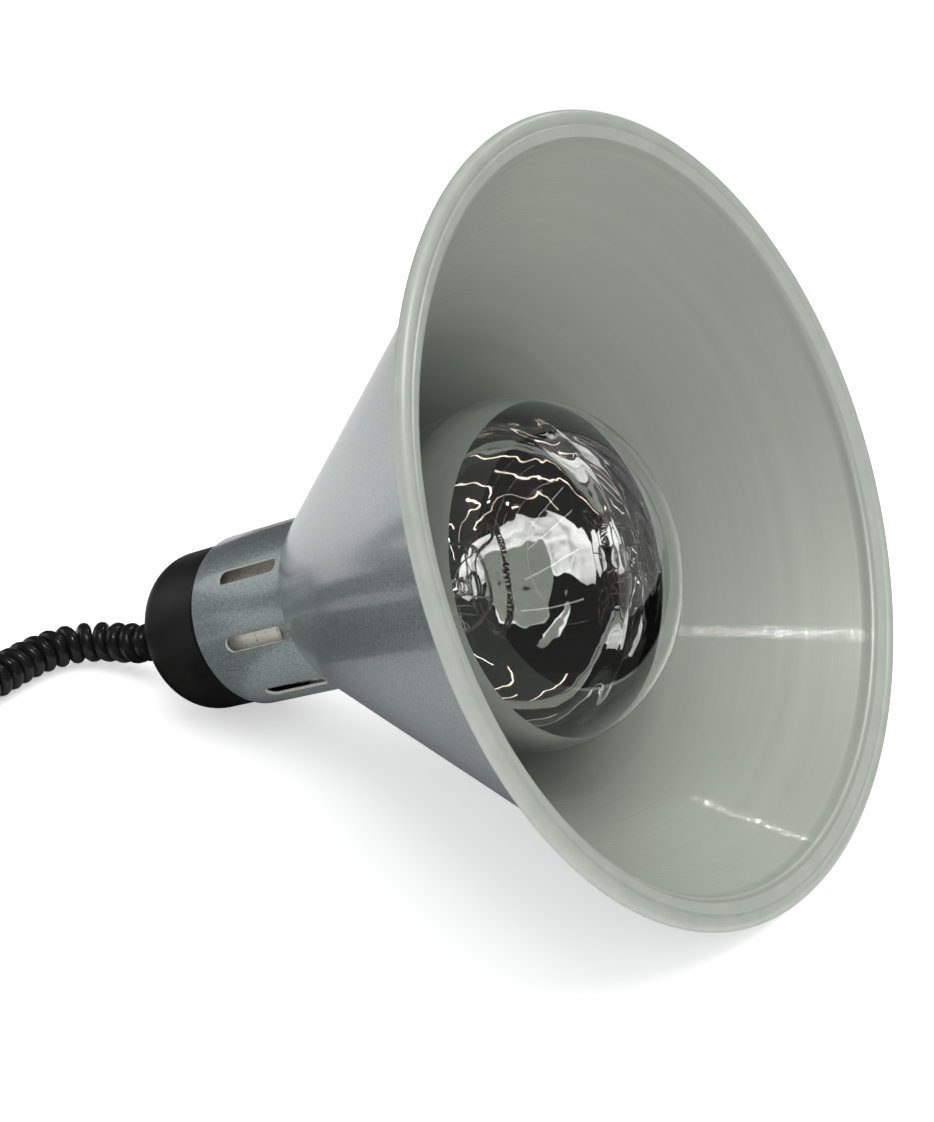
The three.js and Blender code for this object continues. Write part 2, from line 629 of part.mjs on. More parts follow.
function addRose(all) {
  const rest = restAngle([0, ROSE_R, 0], [ROSE_DEPTH - ROSE_EDGE, ROSE_EDGE_AT, ROSE_EDGE]);
  const rose = new THREE.Group();
  rose.rotation.order = 'ZYX';
  rose.rotation.z = ROSE_TURN_DEG * DEG;
  rose.rotation.y = rest;
  const reach = (ROSE_DEPTH + ROSE_BOSS) * Math.cos(rest);
  const back = [
    ROSE_TIP[0] - reach * Math.cos(ROSE_TURN_DEG * DEG),
    ROSE_TIP[1] - reach * Math.sin(ROSE_TURN_DEG * DEG),
  ];
  rose.position.set(back[0], back[1], ROSE_R * Math.cos(rest) + 0.1);
  all.add(rose);
  put(rose, 'rose_shell', roseShell(), blackPlastic);
  put(rose, 'rose_plate', rosePlate(), zincSteel);
  put(rose, 'rose_terminal_block', new THREE.BoxGeometry(14, 20, 12).translate(10, 0, 0), ceramic);
  const bore = JACKET_R + 0.5;
  const flange = ROSE_DEPTH + JOIN_GAP;
  const tip = ROSE_DEPTH + ROSE_BOSS;
  put(rose, 'rose_cord_grip', turned([
    [ROSE_DEPTH - 8, bore], [ROSE_DEPTH - 8, GLAND_HOLE - 0.4],
    [flange, GLAND_HOLE - 0.4], [flange, 11], [ROSE_DEPTH + 3, 11], [ROSE_DEPTH + 4, 9.4],
    [tip - 5, 6.8], [tip, 5.8], [tip, bore],
  ], 32), blackRubber);
  const nut = put(rose, 'rose_grip_nut', hexNut(9.4, GLAND_HOLE, 4), zincSteel);
  nut.rotation.y = Math.PI / 2;
  nut.position.x = ROSE_DEPTH - ROSE_WALL - 4.4;
  put(rose, 'cord_end', rodX(JACKET_R, 20, tip - JOIN_GAP, 16), blackRubber);
  [1, -1].forEach((sign, i) => {
    const fixing = put(rose, `rose_screw_${i + 1}`, screw(1.3, 8, 2.7, 1.8), zincSteel);
    fixing.position.set(ROSE_SCREW_AT, -sign * (ROSE_R + 0.2), 0);
    fixing.rotation.x = sign * Math.PI / 2;
  });
  rose.updateMatrixWorld(true);
  const along = (x) => rose.localToWorld(new THREE.Vector3(x, 0, 0)).toArray();
  return [along(tip + 8), along(tip + JOIN_GAP)];
}

// ---- Assembly ----------------------------------------------------------------------------
const fixture = new THREE.Group();
const restBig = [-BEAD_R, RIM_R - BEAD_R, BEAD_R];
const restSmall = [CAP_END + CAP_EDGE, CAP_R - CAP_EDGE, CAP_EDGE];
const lean = restAngle(restBig, restSmall);
const lamp = new THREE.Group();
lamp.rotation.y = -lean;
lamp.position.z = restBig[1] * Math.cos(lean) + BEAD_R * Math.sin(lean) + BEAD_R;
fixture.add(lamp);

addNeck(lamp);
addCap(lamp);
put(lamp, 'cord_entry', rodX(JACKET_R, RELIEF_TIP + JOIN_GAP, -236.8, 16), blackRubber);

const tilt = new THREE.Group();
tilt.position.x = HOLDER_PIVOT;
tilt.rotation.order = 'ZYX';
tilt.rotation.z = -Math.atan(HOLDER_SIDE);
tilt.rotation.y = Math.atan(HOLDER_DOWN);
lamp.add(tilt);
const holder = new THREE.Group();
holder.position.x = -HOLDER_PIVOT;
tilt.add(holder);
addHolder(holder);
addBulb(holder);

fixture.updateMatrixWorld(true);
const entry = [JOIN_GAP, JOIN_GAP + 4].map((out) => (
  lamp.localToWorld(new THREE.Vector3(RELIEF_TIP - out, 0, 0)).toArray()));
addCord(fixture, entry);
addTie(fixture);
addTail(fixture, addRose(fixture));

// The row's origin is on the surface, under the middle of the lamp without its cord.
fixture.updateMatrixWorld(true);
const lampBox = new THREE.Box3().setFromObject(lamp, true);
fixture.position.set(
  -(lampBox.min.x + lampBox.max.x) / 2,
  -(lampBox.min.y + lampBox.max.y) / 2,
  0,
);

const row = new THREE.Group();
row.add(fixture);
export default row;
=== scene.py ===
"""The looks of a pendant heat lamp that lies on its side: a spun conical shade on a slotted neck,
a mirrored reflector bulb in a ceramic holder, a curly cord, and the ceiling rose at its far end.
Metres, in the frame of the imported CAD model."""
import math

import bmesh
import bpy
from mathutils import Matrix, Vector, noise


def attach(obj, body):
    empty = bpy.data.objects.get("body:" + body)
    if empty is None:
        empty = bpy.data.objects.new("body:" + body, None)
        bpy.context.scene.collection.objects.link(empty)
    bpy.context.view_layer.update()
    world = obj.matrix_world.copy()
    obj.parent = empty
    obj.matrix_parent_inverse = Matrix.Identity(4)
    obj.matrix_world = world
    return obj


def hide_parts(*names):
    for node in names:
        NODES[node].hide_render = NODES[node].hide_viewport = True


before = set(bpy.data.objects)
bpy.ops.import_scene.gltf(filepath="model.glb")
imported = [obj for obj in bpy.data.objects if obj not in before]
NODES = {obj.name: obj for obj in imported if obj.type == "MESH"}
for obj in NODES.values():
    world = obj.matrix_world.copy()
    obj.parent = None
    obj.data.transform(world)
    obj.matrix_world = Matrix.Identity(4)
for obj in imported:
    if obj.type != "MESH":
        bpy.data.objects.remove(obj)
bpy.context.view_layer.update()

MM = 0.001
TAU = 2 * math.pi


# ---- Frames ----
def moved(x, y=0, z=0):
    return Matrix.Translation((x, y, z))


def turned(degrees, axis):
    return Matrix.Rotation(math.radians(degrees), 4, axis)


# Along the lamp's own axis, x = 0 is the rim's plane and x is negative towards the cord.
LEAN = math.radians(24.0976)
RIM_CENTRE = Vector((0.09633, 0, 0.126805))
LAMP = Matrix.Translation(RIM_CENTRE) @ Matrix.Rotation(-LEAN, 4, "Y")

# The bulb and its holder hang a little off the axis, about a point near the cord entry.
PIVOT_X = -0.240
SIDEWAYS_SLOPE = 0.041
DOWN_SLOPE = 0.0412
HOLDER = (LAMP @ moved(PIVOT_X)
          @ Matrix.Rotation(-math.atan(SIDEWAYS_SLOPE), 4, "Z")
          @ Matrix.Rotation(math.atan(DOWN_SLOPE), 4, "Y")
          @ moved(-PIVOT_X))
HOLDER_FIXINGS = HOLDER @ turned(90, "X")       # its bracket's arms are above and below

# The ceiling rose: x = 0 is its open back, and its cord grip points along +x.
ROSE = moved(-0.331608, -0.115783, 0.044656) @ turned(-25, "Z") @ turned(14.396, "Y")

# ---- Camera ----
CAMERA_AT = (0.3736, -0.5279, 0.3403)
AZIMUTH = math.radians(34.73)
ELEVATION = math.radians(21.38)
SENSOR_HEIGHT_MM = 36
LENS_MM = 60.96


def add_camera():
    data = bpy.data.cameras.new("camera")
    data.sensor_fit = "VERTICAL"
    data.sensor_height = SENSOR_HEIGHT_MM
    data.lens = LENS_MM
    data.clip_start = 0.01
    data.clip_end = 50
    camera = bpy.data.objects.new("camera", data)
    camera.location = CAMERA_AT
    camera.rotation_euler = (math.pi / 2 - ELEVATION, 0, AZIMUTH)
    bpy.context.scene.collection.objects.link(camera)
    bpy.context.scene.camera = camera


add_camera()


# ---- Materials: helpers ----
def fill(node, inputs):
    """Sets a node's inputs by name: another node's socket is linked, anything else is a value."""
    for name, value in inputs.items():
        socket = node.inputs[name]
        if isinstance(value, bpy.types.NodeSocket):
            node.id_data.links.new(value, socket)
        else:
            socket.default_value = value


class Surface:
    """A material with one Principled shader, and short calls for the nodes that feed it."""

    def __init__(self, name, colour, **inputs):
        self.material = bpy.data.materials.new(name)
        self.material.use_nodes = True
        self.tree = self.material.node_tree
        self.shader = self.tree.nodes["Principled BSDF"]
        self.set(**{"Base Color": (*colour, 1), **inputs})

    def set(self, **inputs):
        fill(self.shader, {name.replace("_", " "): value for name, value in inputs.items()})

    def node(self, kind, inputs=(), **settings):
        node = self.tree.nodes.new("ShaderNode" + kind)
        for name, value in settings.items():
            setattr(node, name, value)
        fill(node, dict(inputs))
        return node

    def place(self):
        return self.node("TexCoord").outputs["Object"]

    def noise(self, scale, detail=2, roughness=0.5):
        return self.node("TexNoise", {"Vector": self.place(), "Scale": scale, "Detail": detail,
                                      "Roughness": roughness}).outputs["Fac"]

    def cells(self, scale):
        """A random number for each cell of a fine grain."""
        cell = self.node("TexVoronoi", {"Vector": self.place(), "Scale": scale})
        return self.node("SeparateColor", {"Color": cell.outputs["Color"]}).outputs[0]

    def spread(self, value, low, high, from_low=0.3, from_high=0.7):
        return self.node("MapRange", {"Value": value, "From Min": from_low, "From Max": from_high,
                                      "To Min": low, "To Max": high}).outputs[0]

    def blend(self, factor, colour_a, colour_b):
        mix = self.node("Mix", data_type="RGBA")
        sockets = [s for s in mix.inputs if s.enabled]
        for socket, value in zip(sockets, (factor, colour_a, colour_b)):
            if isinstance(value, bpy.types.NodeSocket):
                self.tree.links.new(value, socket)
            else:
                socket.default_value = value if isinstance(value, float) else (*value, 1)
        return next(s for s in mix.outputs if s.enabled)

    def mottled(self, colour_a, colour_b, scale, detail=3, roughness=0.5, most=1.0):
        """The first colour, with soft patches that hold up to this share of the second."""
        share = self.spread(self.noise(scale, detail, roughness), 0.0, most)
        return self.blend(share, colour_a, colour_b)

    def bump(self, height, distance, strength=1.0, after=None):
        inputs = {"Height": height, "Distance": distance, "Strength": strength}
        if after is not None:
            inputs["Normal"] = after
        return self.node("Bump", inputs).outputs[0]

    def from_rim(self):
        """A point's place from the rim's centre, in the lamp's own axes."""
        return self.node("Mapping", {"Vector": self.place(), "Location": RIM_CENTRE,
                                     "Rotation": (0, -LEAN, 0)}, vector_type="TEXTURE").outputs[0]

    def rings(self, scale, detail=3):
        """Noise that varies only along the lamp's axis, as marks of spinning do."""
        along = self.node("SeparateXYZ", {"Vector": self.from_rim()}).outputs[0]
        w = self.node("Math", {0: along, 1: scale}, operation="MULTIPLY").outputs[0]
        return self.node("TexNoise", {"W": w, "Scale": 1.0, "Detail": detail},
                         noise_dimensions="1D").outputs["Fac"]


# ---- Materials ----
def outer_paint():
    """Silver-grey metallic lacquer with a fine sparkle."""
    s = Surface("outer_paint", (0.3, 0.36, 0.355), Metallic=0.72, Roughness=0.4)
    flakes = s.cells(2300)
    grain = s.blend(s.spread(flakes, 0.0, 1.0, 0.15, 0.9), (0.265, 0.32, 0.315),
                    (0.46, 0.53, 0.52))
    clouds = s.mottled(grain, (0.235, 0.285, 0.275), 38, most=0.16)
    peel = s.bump(s.noise(900, 2), 0.00012, 0.5)
    s.set(Base_Color=clouds, Roughness=s.spread(flakes, 0.3, 0.46, 0, 1),
          Normal=s.bump(flakes, 0.00008, 0.35, peel), Coat_Weight=0.8, Coat_Roughness=0.12)
    return s.material


def inner_paint():
    """Pale satin paint over the spinning marks, which draw a light out into a radial streak."""
    s = Surface("inner_paint", (0.5, 0.55, 0.49), Metallic=0.35, Roughness=0.42,
                Anisotropic=0.7)
    out = s.node("VectorMath", {0: s.place(), 1: RIM_CENTRE}, operation="SUBTRACT").outputs[0]
    tangent = s.node("VectorMath", {0: LAMP.to_3x3() @ Vector((1, 0, 0)), 1: out},
                     operation="CROSS_PRODUCT").outputs[0]
    tangent = s.node("VectorMath", {0: tangent}, operation="NORMALIZE").outputs[0]
    wide = s.rings(140, 4)
    fine = s.rings(1500, 2)
    colour = s.blend(s.spread(wide, 0.0, 1.0), (0.47, 0.515, 0.455), (0.52, 0.56, 0.495))
    dust = s.mottled(colour, (0.43, 0.465, 0.41), 26, 4, most=0.22)
    s.set(Base_Color=dust, Tangent=tangent, Roughness=s.spread(wide, 0.40, 0.46),
          Normal=s.bump(fine, 0.00004, 0.4, s.bump(wide, 0.0002, 0.2)),
          Coat_Weight=0.5, Coat_Roughness=0.05,
          Coat_Normal=s.bump(s.rings(1100, 3), 0.0003, 1.0))
    return s.material


def rim_paint():
    """The same paint on the rolled edge, duller from handling."""
    s = Surface("rim_paint", (0.46, 0.5, 0.45), Metallic=0.15, Roughness=0.42)
    worn = s.mottled((0.43, 0.475, 0.425), (0.49, 0.525, 0.475), 90, roughness=0.6)
    s.set(Base_Color=worn, Normal=s.bump(s.noise(700, 2), 0.00006, 0.25))
    return s.material


def black_plastic():
    s = Surface("black_plastic", (0.008, 0.0085, 0.008), Roughness=0.46, Specular_IOR_Level=0.3)
    grain = s.noise(2600, 2, 0.6)
    smudge = s.spread(s.noise(45, 3), 0.4, 0.54)
    colour = s.mottled((0.006, 0.0065, 0.006), (0.011, 0.0115, 0.0105), 60, 2)
    s.set(Base_Color=colour, Roughness=smudge, Normal=s.bump(grain, 0.00008, 0.6))
    return s.material


def black_rubber():
    s = Surface("black_rubber", (0.014, 0.014, 0.014), Roughness=0.6)
    dust = s.mottled((0.012, 0.012, 0.012), (0.03, 0.03, 0.028), 120, 4, most=0.5)
    s.set(Base_Color=dust, Normal=s.bump(s.noise(1800, 3), 0.00008, 0.5))
    return s.material


def cord_jacket():
    """Glossy black PVC or polyurethane."""
    s = Surface("cord_jacket", (0.007, 0.007, 0.0075), Roughness=0.24, Specular_IOR_Level=0.5)
    scuffs = s.spread(s.noise(160, 4, 0.65), 0.19, 0.36)
    colour = s.mottled((0.006, 0.006, 0.0065), (0.012, 0.012, 0.012), 90)
    s.set(Base_Color=colour, Roughness=scuffs, Normal=s.bump(s.noise(420, 2), 0.00015, 0.25))
    return s.material


def ceramic():
    """Unglazed steatite, a little stained."""
    s = Surface("ceramic", (0.72, 0.69, 0.62), Roughness=0.5)
    stain = s.mottled((0.78, 0.75, 0.68), (0.6, 0.56, 0.49), 70, 4)
    specks = s.blend(s.spread(s.cells(1500), 0.0, 0.6, 0.9, 1.0), stain, (0.2, 0.17, 0.14))
    s.set(Base_Color=specks, Normal=s.bump(s.noise(900, 3), 0.0001, 0.4))
    return s.material


def darker(colour, share):
    return tuple(c * share for c in colour)


def plated(name, colour, roughness, grain=700):
    """Plated or bare metal with handling marks."""
    s = Surface(name, colour, Metallic=1.0, Roughness=roughness)
    tarnish = s.mottled(colour, darker(colour, 0.72), 130, 4, 0.6, 0.8)
    s.set(Base_Color=tarnish,
          Roughness=s.spread(s.noise(240, 3), roughness * 0.8, min(roughness * 1.4, 1)),
          Normal=s.bump(s.noise(grain, 2), 0.00006, 0.4))
    return s.material


def bare_metal_and_highlight():
    """Aluminium without paint, dull from spinning. Its near-white colour is partly painted light: a
    painted highlight on the slots' cut edges and painted light brightening the sleeve's inside.
    """
    s = Surface("bare_metal_and_highlight", (0.85, 0.87, 0.83), Metallic=0.35, Roughness=0.5)
    s.set(Base_Color=s.mottled((0.88, 0.9, 0.86), (0.74, 0.76, 0.72), 80),
          Normal=s.bump(s.rings(1200, 2), 0.00004, 0.4))
    return s.material


def insulation(name, colour):
    s = Surface(name, colour, Roughness=0.42)
    s.set(Base_Color=s.mottled(colour, darker(colour, 0.6), 400),
          Normal=s.bump(s.noise(1500, 2), 0.00005, 0.4))
    return s.material


def clear_glass():
    s = Surface("clear_glass", (0.985, 0.99, 0.99), Roughness=0.0, IOR=1.5,
                Transmission_Weight=1.0)
    s.set(Normal=s.bump(s.noise(34, 2), 0.0012, 0.10))
    return s.material


def mirror_coat():
    """Vacuum-deposited aluminium on the inside of blown glass, which is never quite even."""
    s = Surface("mirror_coat", (0.9, 0.9, 0.89), Metallic=1.0, Roughness=0.02)
    colour = s.mottled((0.9, 0.9, 0.89), (0.8, 0.8, 0.79), 60, most=0.5)
    s.set(Base_Color=colour, Normal=s.bump(s.noise(46, 2), 0.0012, 0.16))
    return s.material


def black_glass():
    s = Surface("black_glass", (0.01, 0.01, 0.014), Roughness=0.12)
    s.set(Base_Color=s.mottled((0.008, 0.008, 0.012), (0.02, 0.02, 0.028), 300))
    return s.material


def hook_tape():
    """Woven nylon of a hook-and-loop cable strap."""
    s = Surface("hook_tape", (0.012, 0.012, 0.013), Roughness=0.8, Sheen_Weight=0.35)
    weave = s.node("TexWave", {"Vector": s.place(), "Scale": 520.0, "Distortion": 1.5},
                   bands_direction="DIAGONAL").outputs["Fac"]
    colour = s.blend(weave, (0.008, 0.008, 0.009), (0.03, 0.03, 0.032))
    s.set(Base_Color=colour, Normal=s.bump(weave, 0.0002, 0.8))
    return s.material


OUTER_PAINT = outer_paint()
INNER_PAINT = inner_paint()
RIM_PAINT = rim_paint()
BLACK_PLASTIC = black_plastic()
BLACK_RUBBER = black_rubber()
CORD_JACKET = cord_jacket()
CERAMIC = ceramic()
ZINC = plated("zinc", (0.62, 0.62, 0.6), 0.34)
BRASS = plated("brass", (0.66, 0.47, 0.2), 0.32)
LAMP_CAP = plated("lamp_cap", (0.72, 0.71, 0.68), 0.28)
SUPPORT_WIRE = plated("support_wire", (0.66, 0.64, 0.6), 0.24, 2500)
TUNGSTEN = plated("tungsten", (0.42, 0.4, 0.39), 0.35, 4000)
BARE_METAL_AND_HIGHLIGHT = bare_metal_and_highlight()
CLEAR_GLASS = clear_glass()
MIRROR_COAT = mirror_coat()
BLACK_GLASS = black_glass()
HOOK_TAPE = hook_tape()
LIVE = insulation("live_insulation", (0.2, 0.075, 0.03))
NEUTRAL = insulation("neutral_insulation", (0.03, 0.09, 0.36))
EARTH = insulation("earth_insulation", (0.2, 0.4, 0.04))


# ---- Mesh helpers ----
def new_piece(name, verts, faces, materials, place=None, angle=35, indices=None):
    """A mesh object in the lamp's, the holder's or another frame, smooth up to an angle."""
    if place is not None:
        verts = [place @ Vector(v) for v in verts]
    mesh = bpy.data.meshes.new(name)
    mesh.from_pydata(verts, [], faces)
    for material in materials:
        mesh.materials.append(material)
    if indices:
        mesh.polygons.foreach_set("material_index", indices)
    work = bmesh.new()
    work.from_mesh(mesh)
    bmesh.ops.recalc_face_normals(work, faces=work.faces)
    work.to_mesh(mesh)
    work.free()
    mesh.shade_smooth()
    mesh.set_sharp_from_angle(angle=math.radians(angle))
    piece = bpy.data.objects.new(name, mesh)
    bpy.context.scene.collection.objects.link(piece)
    return piece


def arc(x, r, radius, start, end, steps):
    """Points (x, r) on a circle, from one angle to another in degrees; 0 is +x and 90 is +r."""
    angles = [math.radians(start + (end - start) * i / steps) for i in range(steps + 1)]
    return [(x + radius * math.cos(a), r + radius * math.sin(a)) for a in angles]


def lathe(name, outline, materials, place, segments=96, closed=True, spans=(), angle=35,
          wobble=None):
    """Turns an outline of (x, r) points about +x. spans gives (first point, material index)."""
    verts = []
    rings = []
    for x, r in outline:
        ring = []
        count = 1 if r < 1e-7 else segments
        for k in range(count):
            a = TAU * k / segments
            radius = r + (wobble(x, r, a) if wobble and count > 1 else 0)
            ring.append(len(verts))
            verts.append((x, -radius * math.sin(a), radius * math.cos(a)))
        rings.append(ring)
    pairs = list(zip(rings, rings[1:] + rings[:1]))
    if not closed:
        pairs.pop()
    faces = []
    indices = []
    for i, (one, two) in enumerate(pairs):
        index = ([m for start, m in spans if i >= start] or [0])[-1]
        for k in range(segments):
            j = (k + 1) % segments
            corners = [one[k % len(one)], one[j % len(one)], two[j % len(two)], two[k % len(two)]]
            corners = list(dict.fromkeys(corners))
            if len(corners) > 2:
                faces.append(corners)
                indices.append(index)
    return new_piece(name, verts, faces, materials, place, angle, indices)


def catmull(points, per_span=24):
    """A centripetal Catmull-Rom line through the points."""
    p = [Vector(q) for q in points]
    p = [p[0] * 2 - p[1]] + p + [p[-1] * 2 - p[-2]]
    line = []
    for i in range(1, len(p) - 2):
        t = [0.0]
        for a, b in zip(p[i - 1:i + 2], p[i:i + 3]):
            t.append(t[-1] + max((b - a).length ** 0.5, 1e-6))
        for k in range(per_span):
            u = t[1] + (t[2] - t[1]) * k / per_span
            a = [p[i - 1 + j].lerp(p[i + j], (u - t[j]) / (t[j + 1] - t[j])) for j in range(3)]
            b = [a[j].lerp(a[j + 1], (u - t[j]) / (t[j + 2] - t[j])) for j in range(2)]
            line.append(b[0].lerp(b[1], (u - t[1]) / (t[2] - t[1])))
    line.append(p[-2])
    return line


def resample(line, step):
    """The same line with points an even distance apart."""
    lengths = [0.0]
    for a, b in zip(line, line[1:]):
        lengths.append(lengths[-1] + (b - a).length)
    count = max(2, round(lengths[-1] / step))
    out = []
    k = 0
    for i in range(count + 1):
        s = lengths[-1] * i / count
        while k < len(line) - 2 and lengths[k + 1] < s:
            k += 1
        span = lengths[k + 1] - lengths[k]
        out.append(line[k].lerp(line[k + 1], (s - lengths[k]) / span if span else 0))
    return out, lengths[-1]


def frames_along(line):
    """(tangent, normal, side) at each point, carried along without twisting."""
    tangents = []
    for i in range(len(line)):
        ahead = line[min(i + 1, len(line) - 1)]
        behind = line[max(i - 1, 0)]
        tangents.append((ahead - behind).normalized())
    normal = Vector((0, 0, 1))
    out = []
    for i, t in enumerate(tangents):
        if i:
            normal = tangents[i - 1].rotation_difference(t) @ normal
        normal = (normal - t * normal.dot(t)).normalized()
        out.append((t, normal, t.cross(normal)))
    return out


def ring_faces(rings, sides, closed=False):
    """Quads between neighbouring rings of points, and from the last to the first if closed."""
    faces = []
    for i in range(rings if closed else rings - 1):
        one = i * sides
        two = (i + 1) % rings * sides
        for k in range(sides):
            j = (k + 1) % sides
            faces.append([one + k, one + j, two + j, two + k])
    return faces


def tube(name, line, radius, material, place=None, sides=10):
    """A round tube with closed ends along a line of points."""
    verts = []
    for point, (_, n, b) in zip(line, frames_along(line)):
        for k in range(sides):
            a = TAU * k / sides
            verts.append(point + (n * math.cos(a) + b * math.sin(a)) * radius)
    faces = [list(range(sides))[::-1], [len(verts) - sides + k for k in range(sides)]]
    faces += ring_faces(len(line), sides)
    return new_piece(name, verts, faces, [material], place, 50)


def coil_line(line, radius, pitch, per_turn, ease=0.0):
    """A helix wound round a line, with this many points to a turn. pitch is a function of the
    distance along the line, and the helix opens out over a distance of ease at each end."""
    fine, length = resample(line, 0.25 * radius)
    frames = frames_along(fine)
    step = length / (len(fine) - 1)
    out = []
    turn = 0.0
    s = 0.0
    while s <= length:
        k = min(int(s / step), len(fine) - 2)
        f = s / step - k
        point = fine[k].lerp(fine[k + 1], f)
        _, n, b = frames[k]
        grown = 1.0
        if ease:
            ends = min(s, length - s) / ease
            grown = math.sin(min(ends, 1) * math.pi / 2)
        a = TAU * turn
        out.append(point + (n * math.cos(a) + b * math.sin(a)) * radius * grown)
        turn += 1 / per_turn
        s += pitch(s) / per_turn
    return out


def rod_cutter(place, low, high, radius):
    """A round rod along the place's own x axis, for cutting a hole."""
    outline = [(low, 0), (low, radius), (high, radius), (high, 0)]
    return lathe("cutter", outline, [], place, 24, closed=False)


def cut_with(piece, cutters, sharpen=True):
    """Takes the cutters out of the piece for good. The cut faces keep the cutter's material."""
    for cutter in cutters:
        change = piece.modifiers.new("cut", "BOOLEAN")
        change.operation = "DIFFERENCE"
        change.solver = "EXACT"
        change.material_mode = "TRANSFER" if cutter.data.materials else "INDEX"
        change.object = cutter
    apply_modifiers(piece)
    for cutter in cutters:
        bpy.data.objects.remove(cutter)
    if sharpen:
        piece.data.set_sharp_from_angle(angle=math.radians(35))


def apply_modifiers(piece):
    bpy.context.view_layer.update()
    depsgraph = bpy.context.evaluated_depsgraph_get()
    mesh = bpy.data.meshes.new_from_object(piece.evaluated_get(depsgraph))
    piece.modifiers.clear()
    piece.data = mesh


def soften(piece, width, segments=2, angle=30):
    """Rounds the sharp edges."""
    change = piece.modifiers.new("soften", "BEVEL")
    change.width = width
    change.segments = segments
    change.limit_method = "ANGLE"
    change.angle_limit = math.radians(angle)
    change.harden_normals = True
    change.use_clamp_overlap = True


def finish_piece(piece, body, slot, *nodes):
    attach(piece, body)
    if nodes:
        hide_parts(*nodes)
    return piece


def keep_node(name, material, width=None):
    """A CAD node whose shape is right: it gets its material and softer edges."""
    node = NODES[name]
    node.data.materials.clear()
    node.data.materials.append(material)
    if width:
        soften(node, width)


# ---- Curly cord ----
FIXTURE_X = 0.09633         # the route's points are measured from under the rim's centre
CURL_R = 0.0087             # outside radius of the curls
JACKET_R = 0.00315
CURL_PITCH = 0.0070
PULLED_OPEN = 0.0014
PULLED_OVER = 0.05
INNER_JACKET_R = 0.0032
RELIEF_TIP = -0.269
COIL_CENTRE = Vector((-0.386, -0.100, 0))
COIL_R = 0.090
COIL_START_DEG = -15
COIL_SWEEP_DEG = 360
COIL_SHIFT = 0.018
COIL_SHIFT_FROM = 275
COIL_LIES_AT = 0.0088
TIE_DEG = -20
TIE_LIFT = 0.002
TIE_LIFT_DEG = 25
ROSE_DEPTH = 0.044
ROSE_BOSS = 0.022
LEAD_ROUTE = [
    (-0.2565, 0, 0.0139), (-0.267, -0.0002, 0.0116), (-0.278, -0.002, 0.010),
    (-0.287, -0.0085, 0.0092), (-0.2918, -0.020, 0.0089), (-0.2926, -0.033, 0.0088),
    (-0.2908, -0.047, 0.0088), (-0.289, -0.061, 0.0089), (-0.2898, -0.079, 0.0091),
    (-0.293, -0.099, 0.0095),
]
TAIL_ROUTE = [
    (0.0638, -0.0328, 0.0104), (0.0556, -0.043, 0.0106), (0.0435, -0.0486, 0.0126),
    (0.032, -0.0493, 0.016),
]


def coil_point(turned_deg):
    share = (turned_deg - COIL_SHIFT_FROM) / (COIL_SWEEP_DEG - COIL_SHIFT_FROM)
    inward = (1 - math.cos(math.pi * min(max(share, 0), 1))) / 2
    r = COIL_R - COIL_SHIFT * inward
    deg = COIL_START_DEG - turned_deg
    away = (deg - TIE_DEG + 180) % 360 - 180
    lift = TIE_LIFT * math.exp(-((away / TIE_LIFT_DEG) ** 2))
    a = math.radians(deg)
    return COIL_CENTRE + Vector((r * math.cos(a), r * math.sin(a), COIL_LIES_AT + lift))


def cord_route():
    """The cord's middle line from the strain relief to the rose's grip."""
    shift = Vector((FIXTURE_X, 0, 0))
    entry = [LAMP @ Vector((RELIEF_TIP - out, 0, 0)) for out in (0.0003, 0.0043)]
    lead = [Vector(p) + shift for p in LEAD_ROUTE]
    turn = [coil_point(deg) + shift for deg in range(0, COIL_SWEEP_DEG + 4, 3)]
    tail = [COIL_CENTRE + Vector(p) + shift for p in TAIL_ROUTE]
    boss = [ROSE @ Vector((ROSE_DEPTH + ROSE_BOSS + out, 0, 0)) for out in (0.008, 0.0003)]
    return resample(catmull([*entry, *lead, *turn, *tail, *boss], 8), 0.002)


def cord_pitch(s):
    """The curls are pulled a little open near the lamp, where they carry its weight."""
    return CURL_PITCH + PULLED_OPEN * math.exp(-((s / PULLED_OVER) ** 2))


def add_cord():
    """The curly cord, with the middle line and length that it was wound on."""
    path, length = cord_route()
    curls = coil_line(path, CURL_R - JACKET_R, cord_pitch, 22, ease=0.009)
    cord = tube("curly_cord", curls, JACKET_R, CORD_JACKET, sides=12)
    finish_piece(cord, "root", "cord_jacket", "cord_lead", "cord_coil", "cord_tail")
    return cord, path, length


def add_inner_leads():
    """The straight ends of the cord inside its two grips."""
    for name, place, start, end in (
            ("cord_entry", LAMP, -0.2687, -0.2368), ("cord_end", ROSE, 0.020, 0.0657)):
        line = [Vector((start + (end - start) * i / 8, 0, 0)) for i in range(9)]
        piece = tube(name + "_jacket", line, INNER_JACKET_R, CORD_JACKET, place, 24)
        finish_piece(piece, "root", "cord_jacket", name)
        yield piece


# ---- Shade ----
RIM_R = 0.1375
BEAD_R = 0.0026
SHADE_SLOPE = 0.596
SHADE_WALL = 0.0014
NECK_AT = -0.158
NECK_R = 0.03695
THROAT_R = 0.026
FLANGE = 0.0012
BOLT_CIRCLE = 0.0296
BOLT_ANGLES = (60, 180, 300)
BOLT_HOLE_R = 0.0019
JOIN_GAP = 0.0003           # between pieces that touch


def cone_r(x):
    return NECK_R + (x - NECK_AT) * SHADE_SLOPE


